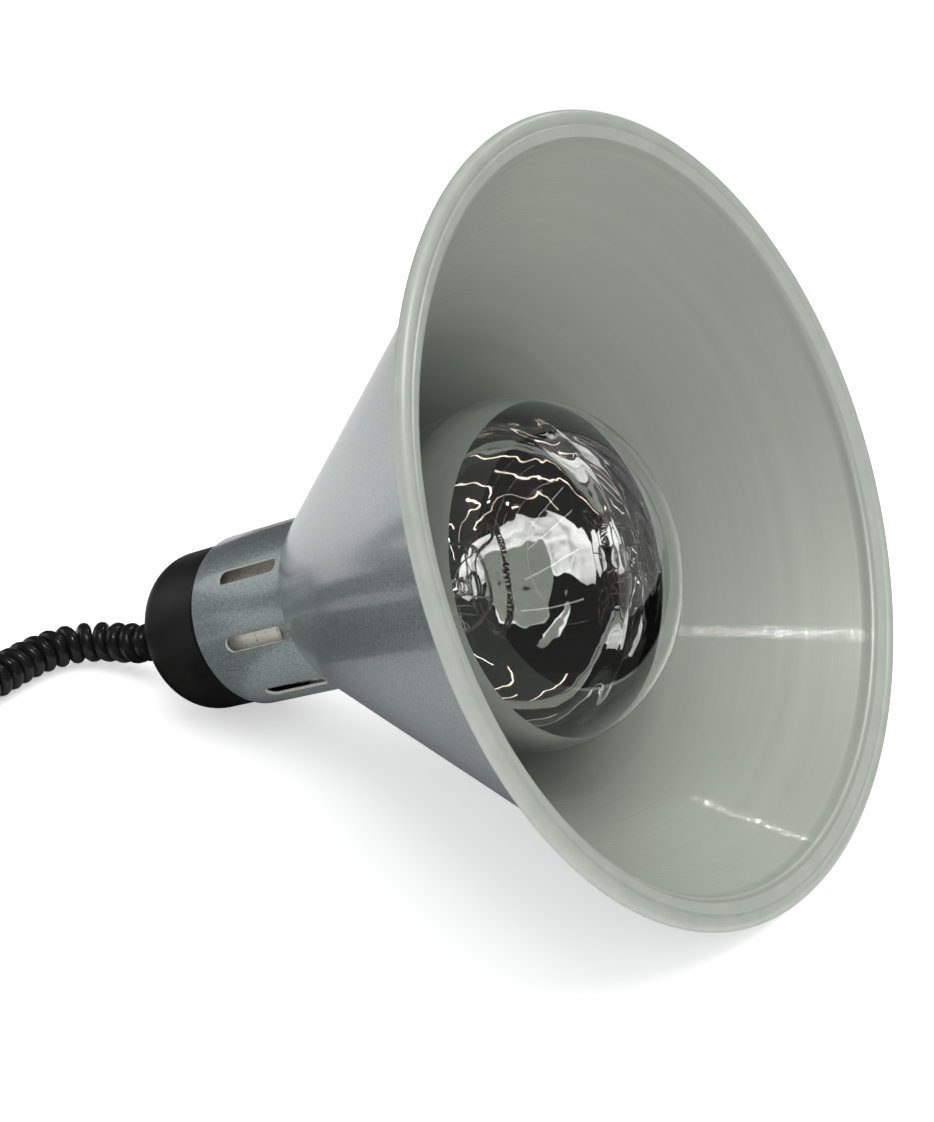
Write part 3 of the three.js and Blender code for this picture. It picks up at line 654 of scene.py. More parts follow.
def shade_outline():
    """(points, first point of the rim, first point of the inside)."""
    inset = SHADE_WALL / math.cos(math.atan(SHADE_SLOPE))
    bead_at = RIM_R - BEAD_R
    edge = 0.0009
    outside = [(NECK_AT, THROAT_R), (NECK_AT, NECK_R - edge * 1.4)]
    outside += arc(NECK_AT + edge, NECK_R - edge * 0.9, edge, 180, 121, 5)[1:]
    start = NECK_AT + 0.003
    span = (-0.0095 - start) / 30
    outside += [(start + span * i, cone_r(start + span * i)) for i in range(31)]
    outside += [(-0.0072, cone_r(-0.0072) + 0.0003), (-0.0056, cone_r(-0.0056) + 0.0004),
                (-0.0046, bead_at - 0.0027)]
    bead = arc(-BEAD_R, bead_at, BEAD_R, 232, -38, 22)
    groove = [(-0.0012, bead_at - 0.0021), (-0.00125, bead_at - 0.0026),
              (-0.0009, bead_at - 0.0031)]
    lip = [(-0.0013, bead_at - 0.0043), (-0.0024, bead_at - 0.0066),
           (-0.0031, bead_at - 0.0077)]
    first = -0.0078
    inside = [(-0.0046, cone_r(-0.0046) - inset - 0.0006), (-0.0058, cone_r(-0.0058) - inset)]
    last = NECK_AT + FLANGE + 0.002
    inside += [(first + (last - first) * i / 30, cone_r(first + (last - first) * i / 30) - inset)
               for i in range(31)]
    corner = NECK_AT + FLANGE
    inside += [(corner + 0.0006, cone_r(corner + 0.0006) - inset - 0.0004),
               (corner, cone_r(corner) - inset - 0.0014), (corner, THROAT_R)]
    rim_from = len(outside) - 1
    inside_from = rim_from + len(bead) + len(groove) + len(lip) - 1
    return outside + bead + groove + lip + inside, rim_from, inside_from


def out_of_round(x, r, a):
    """Spun metal is never quite round: a few hundredths of a millimetre."""
    return 0.00005 * math.sin(3 * a + 40 * x) + 0.00004 * math.sin(7 * a - 25 * x)


def bolt_cutters():
    return [rod_cutter(LAMP @ turned(deg, "X") @ moved(0, 0, BOLT_CIRCLE), NECK_AT - 0.004,
                       NECK_AT + 0.004, BOLT_HOLE_R) for deg in BOLT_ANGLES]


def add_shade():
    outline, rim_from, inside_from = shade_outline()
    shade = lathe("shade", outline, [OUTER_PAINT, RIM_PAINT, INNER_PAINT], LAMP, 192,
                  spans=((0, 0), (rim_from, 1), (inside_from, 2)), wobble=out_of_round)
    cut_with(shade, bolt_cutters(), sharpen=False)
    return finish_piece(shade, "root", "silver_paint", "shade_cone")


# ---- Neck sleeve ----
SLEEVE_R = 0.0344
SLEEVE_WALL = 0.0012
SLEEVE_END = -0.2094
SLOT_COUNT = 8
SLOT_START_DEG = 4
SLOT_LENGTH = 0.032
SLOT_WIDTH = 0.006
SLOT_AT = -0.179
CAP_SCREW_ANGLES = (210, 330)
CAP_SCREW_AT = -0.2054
CAP_SCREW_HOLE = (0.028, 0.038, 0.0018)     # from and to these distances out, and its radius


def slot_cutter(deg):
    """A block with round ends, standing through the sleeve's wall."""
    half = (SLOT_LENGTH - SLOT_WIDTH) / 2
    rim = [*arc(half, 0, SLOT_WIDTH / 2, -90, 90, 12), *arc(-half, 0, SLOT_WIDTH / 2, 90, 270, 12)]
    low = [(x, y, SLEEVE_R - 0.006) for x, y in rim]
    high = [(x, y, SLEEVE_R + 0.006) for x, y in rim]
    n = len(rim)
    faces = [list(range(n))[::-1], list(range(n, 2 * n))]
    faces += [[k, (k + 1) % n, n + (k + 1) % n, n + k] for k in range(n)]
    place = LAMP @ turned(deg, "X") @ moved(SLOT_AT)
    # its material goes to the cut faces: bare metal with a painted highlight
    return new_piece("cutter", low + high, faces, [BARE_METAL_AND_HIGHLIGHT], place)


def cap_screw_cutters():
    return [rod_cutter(LAMP @ turned(deg, "X") @ moved(CAP_SCREW_AT) @ turned(-90, "Y"),
                       *CAP_SCREW_HOLE) for deg in CAP_SCREW_ANGLES]


def add_sleeve():
    front = NECK_AT - JOIN_GAP
    edge = 0.0005
    outline = [(SLEEVE_END, SLEEVE_R - SLEEVE_WALL)]
    outline += arc(SLEEVE_END + edge, SLEEVE_R - edge, edge, 180, 90, 4)
    outline += arc(front - edge, SLEEVE_R - edge, edge, 90, 0, 4)
    outline += [(front, THROAT_R), (front - FLANGE, THROAT_R),
                (front - FLANGE, SLEEVE_R - SLEEVE_WALL)]
    inside_from = len(outline) - 2
    # the inside and the cut faces are bare metal, made paler as painted light
    sleeve = lathe("sleeve", outline, [OUTER_PAINT, BARE_METAL_AND_HIGHLIGHT], LAMP, 160,
                   spans=((0, 0), (inside_from, 1)))
    cutters = [slot_cutter(SLOT_START_DEG + i * 360 / SLOT_COUNT) for i in range(SLOT_COUNT)]
    cut_with(sleeve, [*cutters, *bolt_cutters(), *cap_screw_cutters()])
    soften(sleeve, 0.00035, 2, 50)
    return finish_piece(sleeve, "root", "silver_paint", "neck_sleeve")


# ---- End cap and strain relief ----
CAP_R = 0.0326
CAP_WALL = 0.0025
CAP_END = -0.2487
CAP_EDGE = 0.014
CAP_MOUTH = -0.2014
GLAND_HOLE = 0.0054


def add_cap():
    edge_x = CAP_END + CAP_EDGE
    edge_r = CAP_R - CAP_EDGE
    groove = SLEEVE_END - 0.0026
    outline = [(CAP_MOUTH, CAP_R - CAP_WALL), (CAP_MOUTH, CAP_R - 0.0001)]
    outline += [(SLEEVE_END - 0.0002, CAP_R - 0.0001), (SLEEVE_END - 0.0002, CAP_R)]
    outline += [(groove + 0.0003, CAP_R), (groove, CAP_R - 0.0005),
                (groove - 0.0004, CAP_R - 0.0005), (groove - 0.0007, CAP_R)]
    outline += arc(edge_x, edge_r, CAP_EDGE, 90, 180, 22)
    outline += [(CAP_END, GLAND_HOLE + 0.0005), (CAP_END + 0.0005, GLAND_HOLE),
                (CAP_END + CAP_WALL, GLAND_HOLE)]
    outline += arc(edge_x, edge_r, CAP_EDGE - CAP_WALL, 180, 90, 10)
    cap = lathe("cap", outline, [BLACK_PLASTIC], LAMP, 128)
    cut_with(cap, cap_screw_cutters())
    return finish_piece(cap, "root", "black_plastic", "end_cap")


def relief_outline(inner_end, flange, tip):
    """A cord grip: thread, flange and a tapered body with ring grooves."""
    bore = 0.0037
    outline = [(inner_end, bore), (inner_end, 0.0048), (inner_end + 0.0006, 0.0051)]
    sign = 1 if tip > flange else -1
    thread = abs(flange - inner_end)
    turns = int(thread / 0.0015)
    for i in range(1, turns):
        x = inner_end + sign * thread * i / turns
        outline += [(x - sign * 0.0003, 0.0049), (x, 0.0045)]
    outline += [(flange, 0.0049), (flange, 0.0105), (flange + sign * 0.0005, 0.011),
                (flange + sign * 0.0019, 0.011), (flange + sign * 0.0026, 0.0106),
                (flange + sign * 0.0034, 0.0094)]
    start = flange + sign * 0.0036
    wide, taper = 0.0093, 0.0036
    rings, ridge = 4, 0.62
    for i in range(rings):
        x0 = start + (tip - start) * i / rings
        x1 = start + (tip - start) * (i + ridge) / rings
        x2 = start + (tip - start) * (i + 1) / rings
        r0 = wide - taper * i / rings
        r1 = wide - taper * (i + ridge) / rings
        outline += [(x0 + sign * 0.0003, r0), (x1 - sign * 0.0002, r1),
                    (x1 + sign * 0.0001, r1 - 0.0009), (x2 - sign * 0.0002, r1 - 0.0011)]
    outline += [(tip - sign * 0.0001, 0.0054), (tip, 0.0051), (tip, bore)]
    return outline


def add_reliefs():
    relief = lathe("cord_relief", relief_outline(-0.237, CAP_END - JOIN_GAP, RELIEF_TIP),
                   [BLACK_RUBBER], LAMP, 64)
    finish_piece(relief, "root", "black_rubber", "strain_relief")
    grip = lathe("rose_relief", relief_outline(ROSE_DEPTH - 0.008, ROSE_DEPTH + JOIN_GAP,
                                               ROSE_DEPTH + ROSE_BOSS),
                 [BLACK_RUBBER], ROSE, 64)
    finish_piece(grip, "root", "black_rubber", "rose_cord_grip")
    return grip


# ---- Screws and nuts ----
# Each screw's shank radius, length, head radius and head height.
FLANGE_SCREW = (0.0015, 0.007, 0.0028, 0.002)
CAP_SCREW = (0.0014, 0.007, 0.0027, 0.0018)
ROSE_SCREW = (0.0013, 0.008, 0.0027, 0.0018)
BRACKET_SCREW = (0.0016, 0.0085, 0.003, 0.002)
TERMINAL_SCREW = (0.0015, 0.006, 0.0026, 0.0024)
EARTH_SCREW = (0.0015, 0.005, 0.0028, 0.0014)
RECESS_TURN = 0.4
ROSE_SCREW_AT = 0.006
ROSE_SCREW_R = 0.0462
BRACKET_SCREW_AT = -0.205
BRACKET_SCREW_R = 0.0231
TERMINAL_AT = -0.2113
TERMINAL_R = 0.010
EARTH_AT = -0.228


def block(name, size, place):
    """A plain block for cutting with."""
    x, y, z = (edge / 2 for edge in size)
    verts = [(i, j, k) for i in (-x, x) for j in (-y, y) for k in (-z, z)]
    faces = [[0, 1, 3, 2], [4, 6, 7, 5], [0, 4, 5, 1], [2, 3, 7, 6], [0, 2, 6, 4], [1, 5, 7, 3]]
    return new_piece(name, verts, faces, [], place)


def screw(node, place, size, material, slot):
    """A pan-head screw along the place's +z, its head's seat at z = 0, with a cross recess."""
    shank_r, length, head_r, head_h = size
    outline = [(-length, 0), (-length, shank_r * 0.6), (-length + shank_r * 0.6, shank_r)]
    pitch = shank_r * 0.35
    turns = int((length - shank_r) / pitch)
    for i in range(turns):
        x = -length + shank_r * 0.7 + i * pitch
        outline += [(x, shank_r), (x + pitch / 2, shank_r * 0.86)]
    outline += [(0, shank_r), (0, head_r * 0.97), (head_h * 0.12, head_r)]
    for i in range(9):
        a = math.radians(10 + 80 * i / 8)
        outline.append((head_h * (0.3 + 0.7 * math.sin(a)), head_r * math.cos(a) ** 0.55))
    outline[-1] = (head_h, 0)
    body = lathe(node + "_detail", outline, [material], place @ turned(-90, "Y"), 32, closed=False)
    arm = head_r * 0.16
    reach = head_r * 0.62
    cutters = []
    for quarter in (0, 1):
        across = (place @ moved(0, 0, head_h)
                  @ Matrix.Rotation(quarter * math.pi / 2 + RECESS_TURN, 4, "Z"))
        cutters.append(block("cutter", (2 * reach, 2 * arm, head_h * 1.1), across))
    cut_with(body, cutters)
    return finish_piece(body, "root", slot, node)


def add_screws():
    zinc = (ZINC, "zinc_steel")
    brass = (BRASS, "brass")
    for i, deg in enumerate(BOLT_ANGLES):
        place = (LAMP @ turned(deg, "X") @ moved(NECK_AT + FLANGE + JOIN_GAP, 0, BOLT_CIRCLE)
                 @ turned(90, "Y"))
        screw(f"flange_screw_{i + 1}", place, FLANGE_SCREW, *zinc)
        keep_node(f"flange_nut_{i + 1}", ZINC, 0.0003)
    for i, deg in enumerate(CAP_SCREW_ANGLES):
        place = LAMP @ turned(deg, "X") @ moved(CAP_SCREW_AT, 0, SLEEVE_R + JOIN_GAP)
        screw(f"cap_screw_{i + 1}", place, CAP_SCREW, *zinc)
    for i, sign in enumerate((1, -1)):
        place = ROSE @ moved(ROSE_SCREW_AT, -sign * ROSE_SCREW_R) @ turned(90 * sign, "X")
        screw(f"rose_screw_{i + 1}", place, ROSE_SCREW, *zinc)
        place = (HOLDER_FIXINGS @ moved(BRACKET_SCREW_AT, -sign * BRACKET_SCREW_R)
                 @ turned(90 * sign, "X"))
        screw(f"bracket_screw_{i + 1}", place, BRACKET_SCREW, *zinc)
        place = HOLDER_FIXINGS @ moved(TERMINAL_AT, 0, sign * TERMINAL_R) @ turned(-90, "Y")
        screw(f"terminal_screw_{i + 1}", place, TERMINAL_SCREW, *brass)
    place = HOLDER_FIXINGS @ moved(EARTH_AT, BRACKET_SCREW_R) @ turned(-90, "X")
    screw("earth_screw", place, EARTH_SCREW, *brass)


# ---- Lampholder ----
def add_holder():
    """The ceramic holder, its bracket and leads, and the nut that holds the cord grip."""
    keep_node("holder_bracket", ZINC, 0.0003)
    keep_node("holder_base", CERAMIC, 0.0004)
    keep_node("holder_skirt", CERAMIC, 0.0004)
    keep_node("gland_nut", ZINC, 0.0004)
    for name, material in (("holder_shell", BRASS), ("holder_contact", BRASS),
                           ("lead_live", LIVE), ("lead_neutral", NEUTRAL), ("lead_earth", EARTH)):
        keep_node(name, material)


# ---- Bulb ----
BULB_R = 0.0625
BULB_WIDEST = -0.0691
BULB_DOME = 0.050
BULB_POWER = 2.26
BULB_WALL = 0.001
GLASS_END = -0.1705
MIRROR_FROM = 0.388         # the mirror begins this share of the dome's height before the widest
FILAMENT_AT = -0.098
FILAMENT_R = 0.017
WINDING_R = 0.00062
WINDING_PITCH = 0.00052
FILAMENT_WIRE_R = 0.00013
SUPPORT_WIRE_R = 0.00032
LEAD_WIRE_R = 0.00048
SUPPORT_COUNT = 5
FIRST_SUPPORT_DEG = 18
THREAD_PITCH = 0.003629
BOWL = [(0, 62.5), (13, 60.8), (28, 55), (43, 46.4), (57, 36.6), (70, 27.6), (81, 21.4),
        (91, 17.2), (101.4, 14.2)]      # millimetres behind the widest circle, and radius


def dome_r(x, inset=0.0):
    height = BULB_DOME - inset
    share = min(max(x / height, 0), 1)
    return (BULB_R - inset) * (1 - share ** BULB_POWER) ** (1 / BULB_POWER)


def bowl_line(inset=0.0):
    """(x, r) points of the bowl, from the widest circle back to the neck."""
    line = catmull([(-b * MM, r * MM, 0) for b, r in BOWL], 7)
    return [(BULB_WIDEST + p.x, p.y - inset) for p in line]


def dome_line(inset=0.0, from_share=1.0, steps=40):
    """(x, r) points of the dome, from a share of its height back to the widest circle."""
    height = BULB_DOME - inset
    top = math.acos(min(from_share, 1))
    line = []
    for i in range(steps):
        x = height * math.cos(top + (math.pi / 2 - top) * i / steps)
        line.append((BULB_WIDEST + x, dome_r(x, inset)))
    return line


def blown(x, r, a):
    """The slow waves of blown glass."""
    place = Vector((x * 55, r * 55 * math.sin(a), r * 55 * math.cos(a)))
    return 0.00012 * noise.noise(place)


def hand_wavy(x, r, a):
    place = Vector((x * 38 + 9, r * 38 * math.sin(a), r * 38 * math.cos(a)))
    return 0.00022 * noise.noise(place) + 0.00006 * noise.noise(place * 2.7)


def add_bulb():
    outer = [*dome_line(), *bowl_line()]
    inner = [*dome_line(BULB_WALL), *bowl_line(BULB_WALL)]
    glass = lathe("bulb_envelope", [*outer, *inner[::-1]], [CLEAR_GLASS], HOLDER, 160,
                  closed=False, wobble=blown, angle=60)
    finish_piece(glass, "bulb", "bulb_glass", "bulb_glass")
    film = BULB_WALL + 0.00012
    back = film + 0.0001
    front = dome_line(film, MIRROR_FROM, 24)
    rear = dome_line(back, MIRROR_FROM - 0.002, 24)
    coat = lathe("bulb_mirror", [*front, *bowl_line(film)[:-6], *bowl_line(back)[:-6][::-1],
                                 *rear[::-1]],
                 [MIRROR_COAT], HOLDER, 192, wobble=hand_wavy, angle=60)
    finish_piece(coat, "bulb", "bulb_glass")
    add_lamp_cap()
    add_stem()
    add_filament()


def add_lamp_cap():
    """The E27 cap with its rolled thread, its black glass and its tip contact."""
    crest, root, wall = 0.0132, 0.0122, 0.00035
    turns = 4
    start = -0.1738
    foot = start - turns * THREAD_PITCH
    segments = 72
    per_pitch = 8
    rows = [(GLASS_END - JOIN_GAP, 0.014, 0), (-0.1714, 0.014, 0), (-0.1722, 0.0128, 0)]
    rows += [(start - THREAD_PITCH * i / per_pitch, root, 1)
             for i in range(turns * per_pitch + 1)]
    rows += [(foot - 0.0008, 0.0112, 0), (foot - 0.0016, 0.0096, 0)]
    rows += [(x + 0.0001, r - wall, t) for x, r, t in rows[::-1]]
    verts = []
    for x, r, threaded in rows:
        for k in range(segments):
            a = TAU * k / segments
            turn = (start - x) / THREAD_PITCH + a / TAU
            rise = threaded * (crest - root) * (0.5 - 0.5 * math.cos(TAU * turn))
            verts.append((x, -(r + rise) * math.sin(a), (r + rise) * math.cos(a)))
    faces = ring_faces(len(rows), segments, closed=True)
    cap = new_piece("lamp_cap_shell", verts, faces, [LAMP_CAP], HOLDER, 50)
    finish_piece(cap, "bulb", "lamp_cap_metal", "bulb_cap_shell")
    vitrite = lathe("lamp_cap_glass", [(-0.1905, 0), (-0.1905, 0.0087), (-0.1913, 0.0091),
                                       (-0.1922, 0.009), (-0.1936, 0.0076), (-0.1948, 0.0061),
                                       (-0.1952, 0.0054), (-0.1952, 0)],
                    [BLACK_GLASS], HOLDER, 64, closed=False)
    finish_piece(vitrite, "bulb", "black_glass", "bulb_insulator")
    tip = lathe("lamp_cap_tip", [(-0.1955, 0), (-0.1955, 0.0045), (-0.1959, 0.0046),
                                 (-0.1966, 0.0042), (-0.1971, 0.0032), (-0.1973, 0.002),
                                 (-0.1975, 0.0012), (-0.1975, 0)],
                [LAMP_CAP], HOLDER, 48, closed=False)
    finish_piece(tip, "bulb_carriage", "lamp_cap_metal", "bulb_tip")


def add_stem():
    """The glass mount, turned round its axis: a flare at the neck, a pinch and a rod with a button.
    """
    outline = [(-0.169, 0), (-0.169, 0.0114), (-0.1672, 0.0103), (-0.1648, 0.0083),
               (-0.161, 0.0064), (-0.1575, 0.0052), (-0.150, 0.0042), (-0.138, 0.0036),
               (-0.120, 0.0031), (-0.1075, 0.0029), (-0.1052, 0.0036), (-0.1036, 0.0042),
               (-0.102, 0.0042), (-0.1008, 0.0034), (-0.1001, 0.002), (-0.100, 0)]
    stem = lathe("bulb_mount", outline, [CLEAR_GLASS], HOLDER, 64, closed=False, angle=60)
    finish_piece(stem, "bulb", "bulb_glass", "bulb_stem")


def ring_point(deg, r, x=FILAMENT_AT):
    a = math.radians(deg)
    return (x, -r * math.sin(a), r * math.cos(a))


def add_filament():
    spacing = 360 / SUPPORT_COUNT
    for i in range(SUPPORT_COUNT):
        deg = FIRST_SUPPORT_DEG + spacing * i
        eye = [ring_point(deg + 4 * math.sin(TAU * k / 8), FILAMENT_R - 0.0006
                          + 0.001 * math.cos(TAU * k / 8), FILAMENT_AT - 0.0002)
               for k in range(1, 8)]
        route = [ring_point(deg, 0.0043, -0.1028), ring_point(deg, 0.0075, -0.1032),
                 ring_point(deg, 0.0115, -0.1018), ring_point(deg, FILAMENT_R - 0.003,
                                                              FILAMENT_AT - 0.0006), *eye]
        arm = tube(f"support_wire_{i + 1}", catmull(route, 6), SUPPORT_WIRE_R, SUPPORT_WIRE,
                   HOLDER, 8)
        finish_piece(arm, "bulb", "support_wire", f"bulb_support_{i + 1}")
    start = FIRST_SUPPORT_DEG + 12
    sweep = 336
    count = 28
    ring = []
    for i in range(count + 1):
        deg = start + sweep * i / count
        from_corner = ((deg - FIRST_SUPPORT_DEG) % spacing) / spacing - 0.5
        ring.append(ring_point(deg, FILAMENT_R - 0.0016 * math.cos(from_corner * math.pi)))
    wound = coil_line(catmull(ring, 6), WINDING_R, lambda s: WINDING_PITCH, 8)
    filament = tube("filament_coil", wound, FILAMENT_WIRE_R, TUNGSTEN, HOLDER, 5)
    finish_piece(filament, "bulb", "tungsten", "bulb_filament")
    for i, deg in enumerate((start, start + sweep)):
        rest = FILAMENT_AT - 0.0012
        route = [ring_point(deg, FILAMENT_R - 0.0010, rest + 0.0012),
                 ring_point(deg, FILAMENT_R - 0.0012, rest), ring_point(deg, 0.014, -0.106),
                 ring_point(deg, 0.0104, -0.128), ring_point(deg, 0.0096, -0.150),
                 ring_point(deg, 0.0108, -0.162)]
        wire = tube(f"lead_in_wire_{i + 1}", catmull(route, 10), LEAD_WIRE_R, SUPPORT_WIRE,
                    HOLDER, 10)
        finish_piece(wire, "bulb", "support_wire", f"bulb_leadwire_{i + 1}")


# ---- Ceiling rose ----
ROSE_R = 0.046
ROSE_EDGE = 0.008
ROSE_EDGE_AT = 0.0285
ROSE_MIDDLE_R = 0.0399
ROSE_WALL = 0.0022
ROSE_SCREW_HOLE = (0.038, 0.050, 0.0018)


def add_rose():
    edge_x = ROSE_DEPTH - ROSE_EDGE
    outline = [(0.0001, ROSE_R - ROSE_WALL), (0.0001, ROSE_R - 0.0006), (0.0005, ROSE_R - 0.0001),
               (0.0022, ROSE_R - 0.0004), (0.004, ROSE_R - 0.0012)]
    side = catmull([(0.004, ROSE_R - 0.0012, 0), (0.013, 0.0425, 0), (0.022, ROSE_MIDDLE_R, 0),
                    (0.031, 0.0374, 0), (edge_x + 0.0017, ROSE_EDGE_AT + 0.0078, 0)], 6)
    outline += [(p.x, p.y) for p in side[1:-1]]
    outline += arc(edge_x, ROSE_EDGE_AT, ROSE_EDGE, 78, 0, 14)
    outline += [(ROSE_DEPTH, 0.0145), (ROSE_DEPTH - 0.0004, 0.0140), (ROSE_DEPTH - 0.0004, 0.0132),
                (ROSE_DEPTH, 0.0127), (ROSE_DEPTH, GLAND_HOLE),
                (ROSE_DEPTH - ROSE_WALL, GLAND_HOLE)]
    outline += arc(edge_x, ROSE_EDGE_AT, ROSE_EDGE - ROSE_WALL, 0, 78, 8)
    outline += [(0.022, ROSE_MIDDLE_R - ROSE_WALL), (0.004, ROSE_R - 0.0012 - ROSE_WALL)]
    shell = lathe("rose_cover", outline, [BLACK_PLASTIC], ROSE, 128)
    cut_with(shell, [rod_cutter(ROSE @ moved(ROSE_SCREW_AT) @ turned(90 * sign, "X")
                                @ turned(-90, "Y"), *ROSE_SCREW_HOLE) for sign in (1, -1)])
    finish_piece(shell, "root", "black_plastic", "rose_shell")
    keep_node("rose_plate", ZINC, 0.0003)
    keep_node("rose_terminal_block", CERAMIC, 0.0008)
    keep_node("rose_grip_nut", ZINC, 0.0004)
    return shell


def add_tie():
    """A hook-and-loop strap round the two strands that lie side by side."""
    slack, thickness, width = 0.0008, 0.0011, 0.008
    bend = CURL_R + slack
    flat = COIL_SHIFT / 2 + CURL_R + slack - bend
    middle = COIL_R - COIL_SHIFT / 2
    a = math.radians(TIE_DEG)
    centre = COIL_CENTRE + Vector((FIXTURE_X + middle * math.cos(a), middle * math.sin(a),
                                   COIL_LIES_AT + TIE_LIFT))
    place = Matrix.Translation(centre) @ Matrix.Rotation(a, 4, "Z")
    loop = []
    for centre, start in ((flat, -90), (-flat, 90)):
        for k in range(17):
            t = math.radians(start + 180 * k / 16)
            loop.append((Vector((centre, 0)), Vector((math.cos(t), math.sin(t)))))
    section = [(0, -0.5), (0.12, -0.5), (0.88, -0.5), (1, -0.44), (1, -0.3), (1, 0), (1, 0.3),
               (1, 0.44), (0.88, 0.5), (0.12, 0.5), (0, 0.5)]
    verts = []
    for centre, out in loop:
        for share, across in section:
            p = centre + out * (bend + thickness * share)
            verts.append((p.x, width * across, p.y))
    n = len(section)
    faces = []
    for i in range(len(loop)):
        j = (i + 1) % len(loop)
        for k in range(n):
            m = (k + 1) % n
            faces.append([i * n + k, j * n + k, j * n + m, i * n + m])
    strap = new_piece("strap", verts, faces, [HOOK_TAPE], place, 40)
    return finish_piece(strap, "root", "black_plastic", "cord_tie")


# ---- The object ----
cord, cord_path, cord_length = add_cord()
inner_leads = list(add_inner_leads())
add_shade()
add_sleeve()
add_cap()
rose_grip = add_reliefs()
add_screws()
add_holder()
add_bulb()
rose_cover = add_rose()
strap = add_tie()
[tuple(p) for p in cord_path]


# ---- Floor and light ----
FLOOR_R = 1.5
ROOM_LIGHT = 0.42
ROOM_GLOSS = 0.03
GLOW_AT = 0.3                # on the lamp's axis, before the shade's mouth
GLOW_WIDTH = 0.007
GLOW_ARCS = [(0.16, 20, 120), (0.26, -30, 60), (0.34, 30, 115), (0.42, -20, 70), (0.52, 40, 110),
             (0.62, -10, 60)]
STRIP_COUNT = 4
STRIP_LOW = 0.25
STRIP_HIGH = 1.7


def add_floor():
    """A pale table that glows a little, as paper lit from all round does."""
    s = Surface("floor_white", (0.86, 0.86, 0.86), Roughness=0.8)
    s.set(Base_Color=s.mottled((0.87, 0.87, 0.87), (0.85, 0.85, 0.85), 3, 2),
          Emission_Color=(1, 1, 1, 1), Emission_Strength=0.5)
    ring = [(FLOOR_R * math.cos(TAU * k / 96), FLOOR_R * math.sin(TAU * k / 96), 0)
            for k in range(96)]
    floor = new_piece("floor", ring, [list(range(96))], [s.material])


def add_card(name, low, high, height, tone):
    """A dull card over the floor that only reflections see."""
    s = Surface(name, (tone, tone, tone), Roughness=1.0, Specular_IOR_Level=0.0)
    corners = [(low[0], low[1]), (high[0], low[1]), high, (low[0], high[1])]
    card = new_piece(name, [(*c, height) for c in corners], [[0, 1, 2, 3]], [s.material])
    card.visible_camera = card.visible_diffuse = card.visible_shadow = False


def add_glow(name, strip, strength, warmth=0.0):
    """A glowing shape before the shade's mouth that only the bulb's mirror sees, through its glass.
    strip is two lists of (y, z) points, its two edges, in the lamp's own axes."""
    s = Surface(name, (0, 0, 0), Roughness=1.0, Specular_IOR_Level=0.0,
                Emission_Strength=strength)
    bright = (1, 1 - 0.3 * warmth, 1 - 0.6 * warmth)
    s.set(Emission_Color=s.mottled(bright, darker(bright, 0.35), 5))
    one, two = strip
    verts = [(GLOW_AT, y, z) for y, z in [*one, *two]]
    n = len(one)
    faces = [[k, k + 1, n + k + 1, n + k] for k in range(n - 1)]
    glow = new_piece(name, verts, faces, [s.material], LAMP)
    glow.visible_camera = glow.visible_diffuse = glow.visible_shadow = False
    glow.visible_glossy = False


def arc_strip(radius, start, end, steps=40):
    """A thin strip round the lamp's axis: 0 degrees is up and 90 is towards the camera's side."""
    angles = [math.radians(start + (end - start) * k / steps) for k in range(steps + 1)]
    return [[(-r * math.sin(a), r * math.cos(a)) for a in angles]
            for r in (radius, radius + GLOW_WIDTH)]


def add_area(name, at, target, size, power, shines=True, lights=True):
    """A rectangular lamp. shines: seen in reflections. lights: falls on dull surfaces."""
    data = bpy.data.lights.new(name, "AREA")
    data.shape = "RECTANGLE"
    data.size, data.size_y = size
    data.energy = power
    light = bpy.data.objects.new(name, data)
    light.visible_glossy = light.visible_transmission = shines
    light.visible_diffuse = lights
    light.location = at
    aim = Vector(target) - Vector(at)
    light.rotation_euler = aim.to_track_quat("-Z", "Y").to_euler()
    bpy.context.scene.collection.objects.link(light)


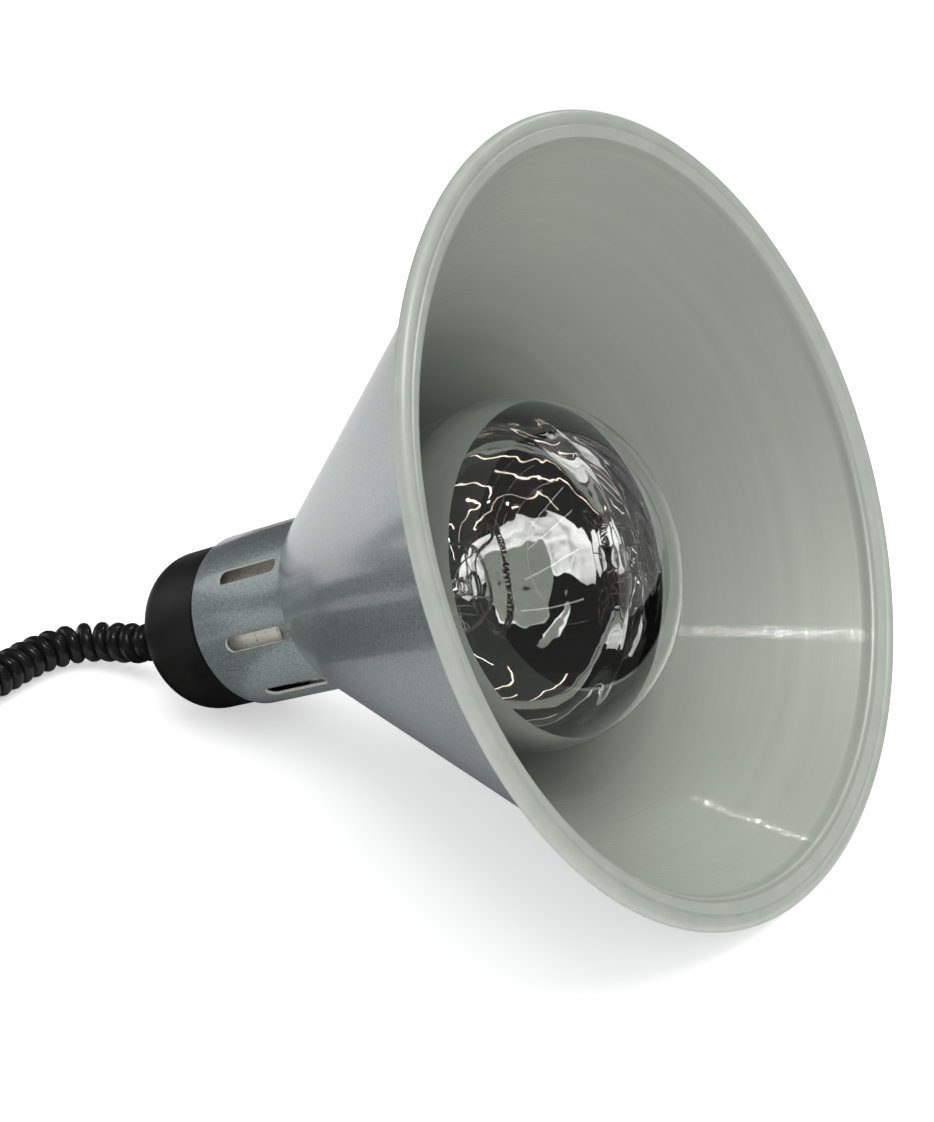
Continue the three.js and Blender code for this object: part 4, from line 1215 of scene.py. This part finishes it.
def add_world():
    """White behind everything the camera sees, a dim room for light, a dark one for gloss."""
    world = bpy.data.worlds.new("studio")
    world.use_nodes = True
    tree = world.node_tree
    path = tree.nodes.new("ShaderNodeLightPath").outputs
    room = tree.nodes.new("ShaderNodeMapRange")
    fill(room, {"Value": path["Is Diffuse Ray"], "To Min": ROOM_GLOSS, "To Max": ROOM_LIGHT})
    strength = tree.nodes.new("ShaderNodeMapRange")
    fill(strength, {"Value": path["Is Camera Ray"], "To Min": room.outputs[0], "To Max": 1.0})
    fill(tree.nodes["Background"], {"Color": (1, 1, 1, 1), "Strength": strength.outputs[0]})
    bpy.context.scene.world = world


add_floor()
add_world()
add_area("top_light", (0.1, 0.2, 2.0), (0, 0, 0), (2.6, 2.6), 34, shines=False)
add_area("front_fill", (1.5, -1.5, 1.1), (0.05, 0, 0.1), (1.8, 1.8), 15, shines=False)
add_area("streak_light", (0.44, -0.25, 1.05), RIM_CENTRE, (0.03, 0.03), 3, lights=False)
add_area("streak_light_low", (0.04, 0.9, 0.95), RIM_CENTRE, (0.03, 0.03), 1, lights=False)
for i in range(STRIP_COUNT):
    height = STRIP_LOW + (STRIP_HIGH - STRIP_LOW) * i / (STRIP_COUNT - 1)
    add_area(f"strip_{i + 1}", (1.5, -0.3 + 0.2 * i, height), RIM_CENTRE, (1.3, 0.02), 0.25,
             lights=False)
add_area("left_panel", (-1.5, -0.6, 0.7), (0, 0, 0.1), (1.2, 0.8), 3)
add_card("dark_card_front", (0.16, -1.3), (1.4, 1.3), 0.003, 0.02)
add_card("grey_card_left", (-1.4, -1.3), (-0.2, 1.3), 0.002, 0.85)
add_card("grey_card_under", (-0.2, -1.3), (0.155, 1.3), 0.002, 0.5)
add_card("dark_card_left", (-0.165, -0.5), (-0.09, 0.9), 0.003, 0.01)
add_glow("glow_panel", [[(0.24, -0.26), (0.26, 0.1), (0.2, 0.55)],
                        [(1.6, -0.26), (1.6, 0.1), (1.5, 0.9)]], 1.5)
for i, (radius, start, end) in enumerate(GLOW_ARCS):
    add_glow(f"glow_arc_{i + 1}", arc_strip(radius, start, end), 4.0, 0.5)
bpy.context.scene.view_settings.view_transform = "Standard"

bpy.context.view_layer.update()
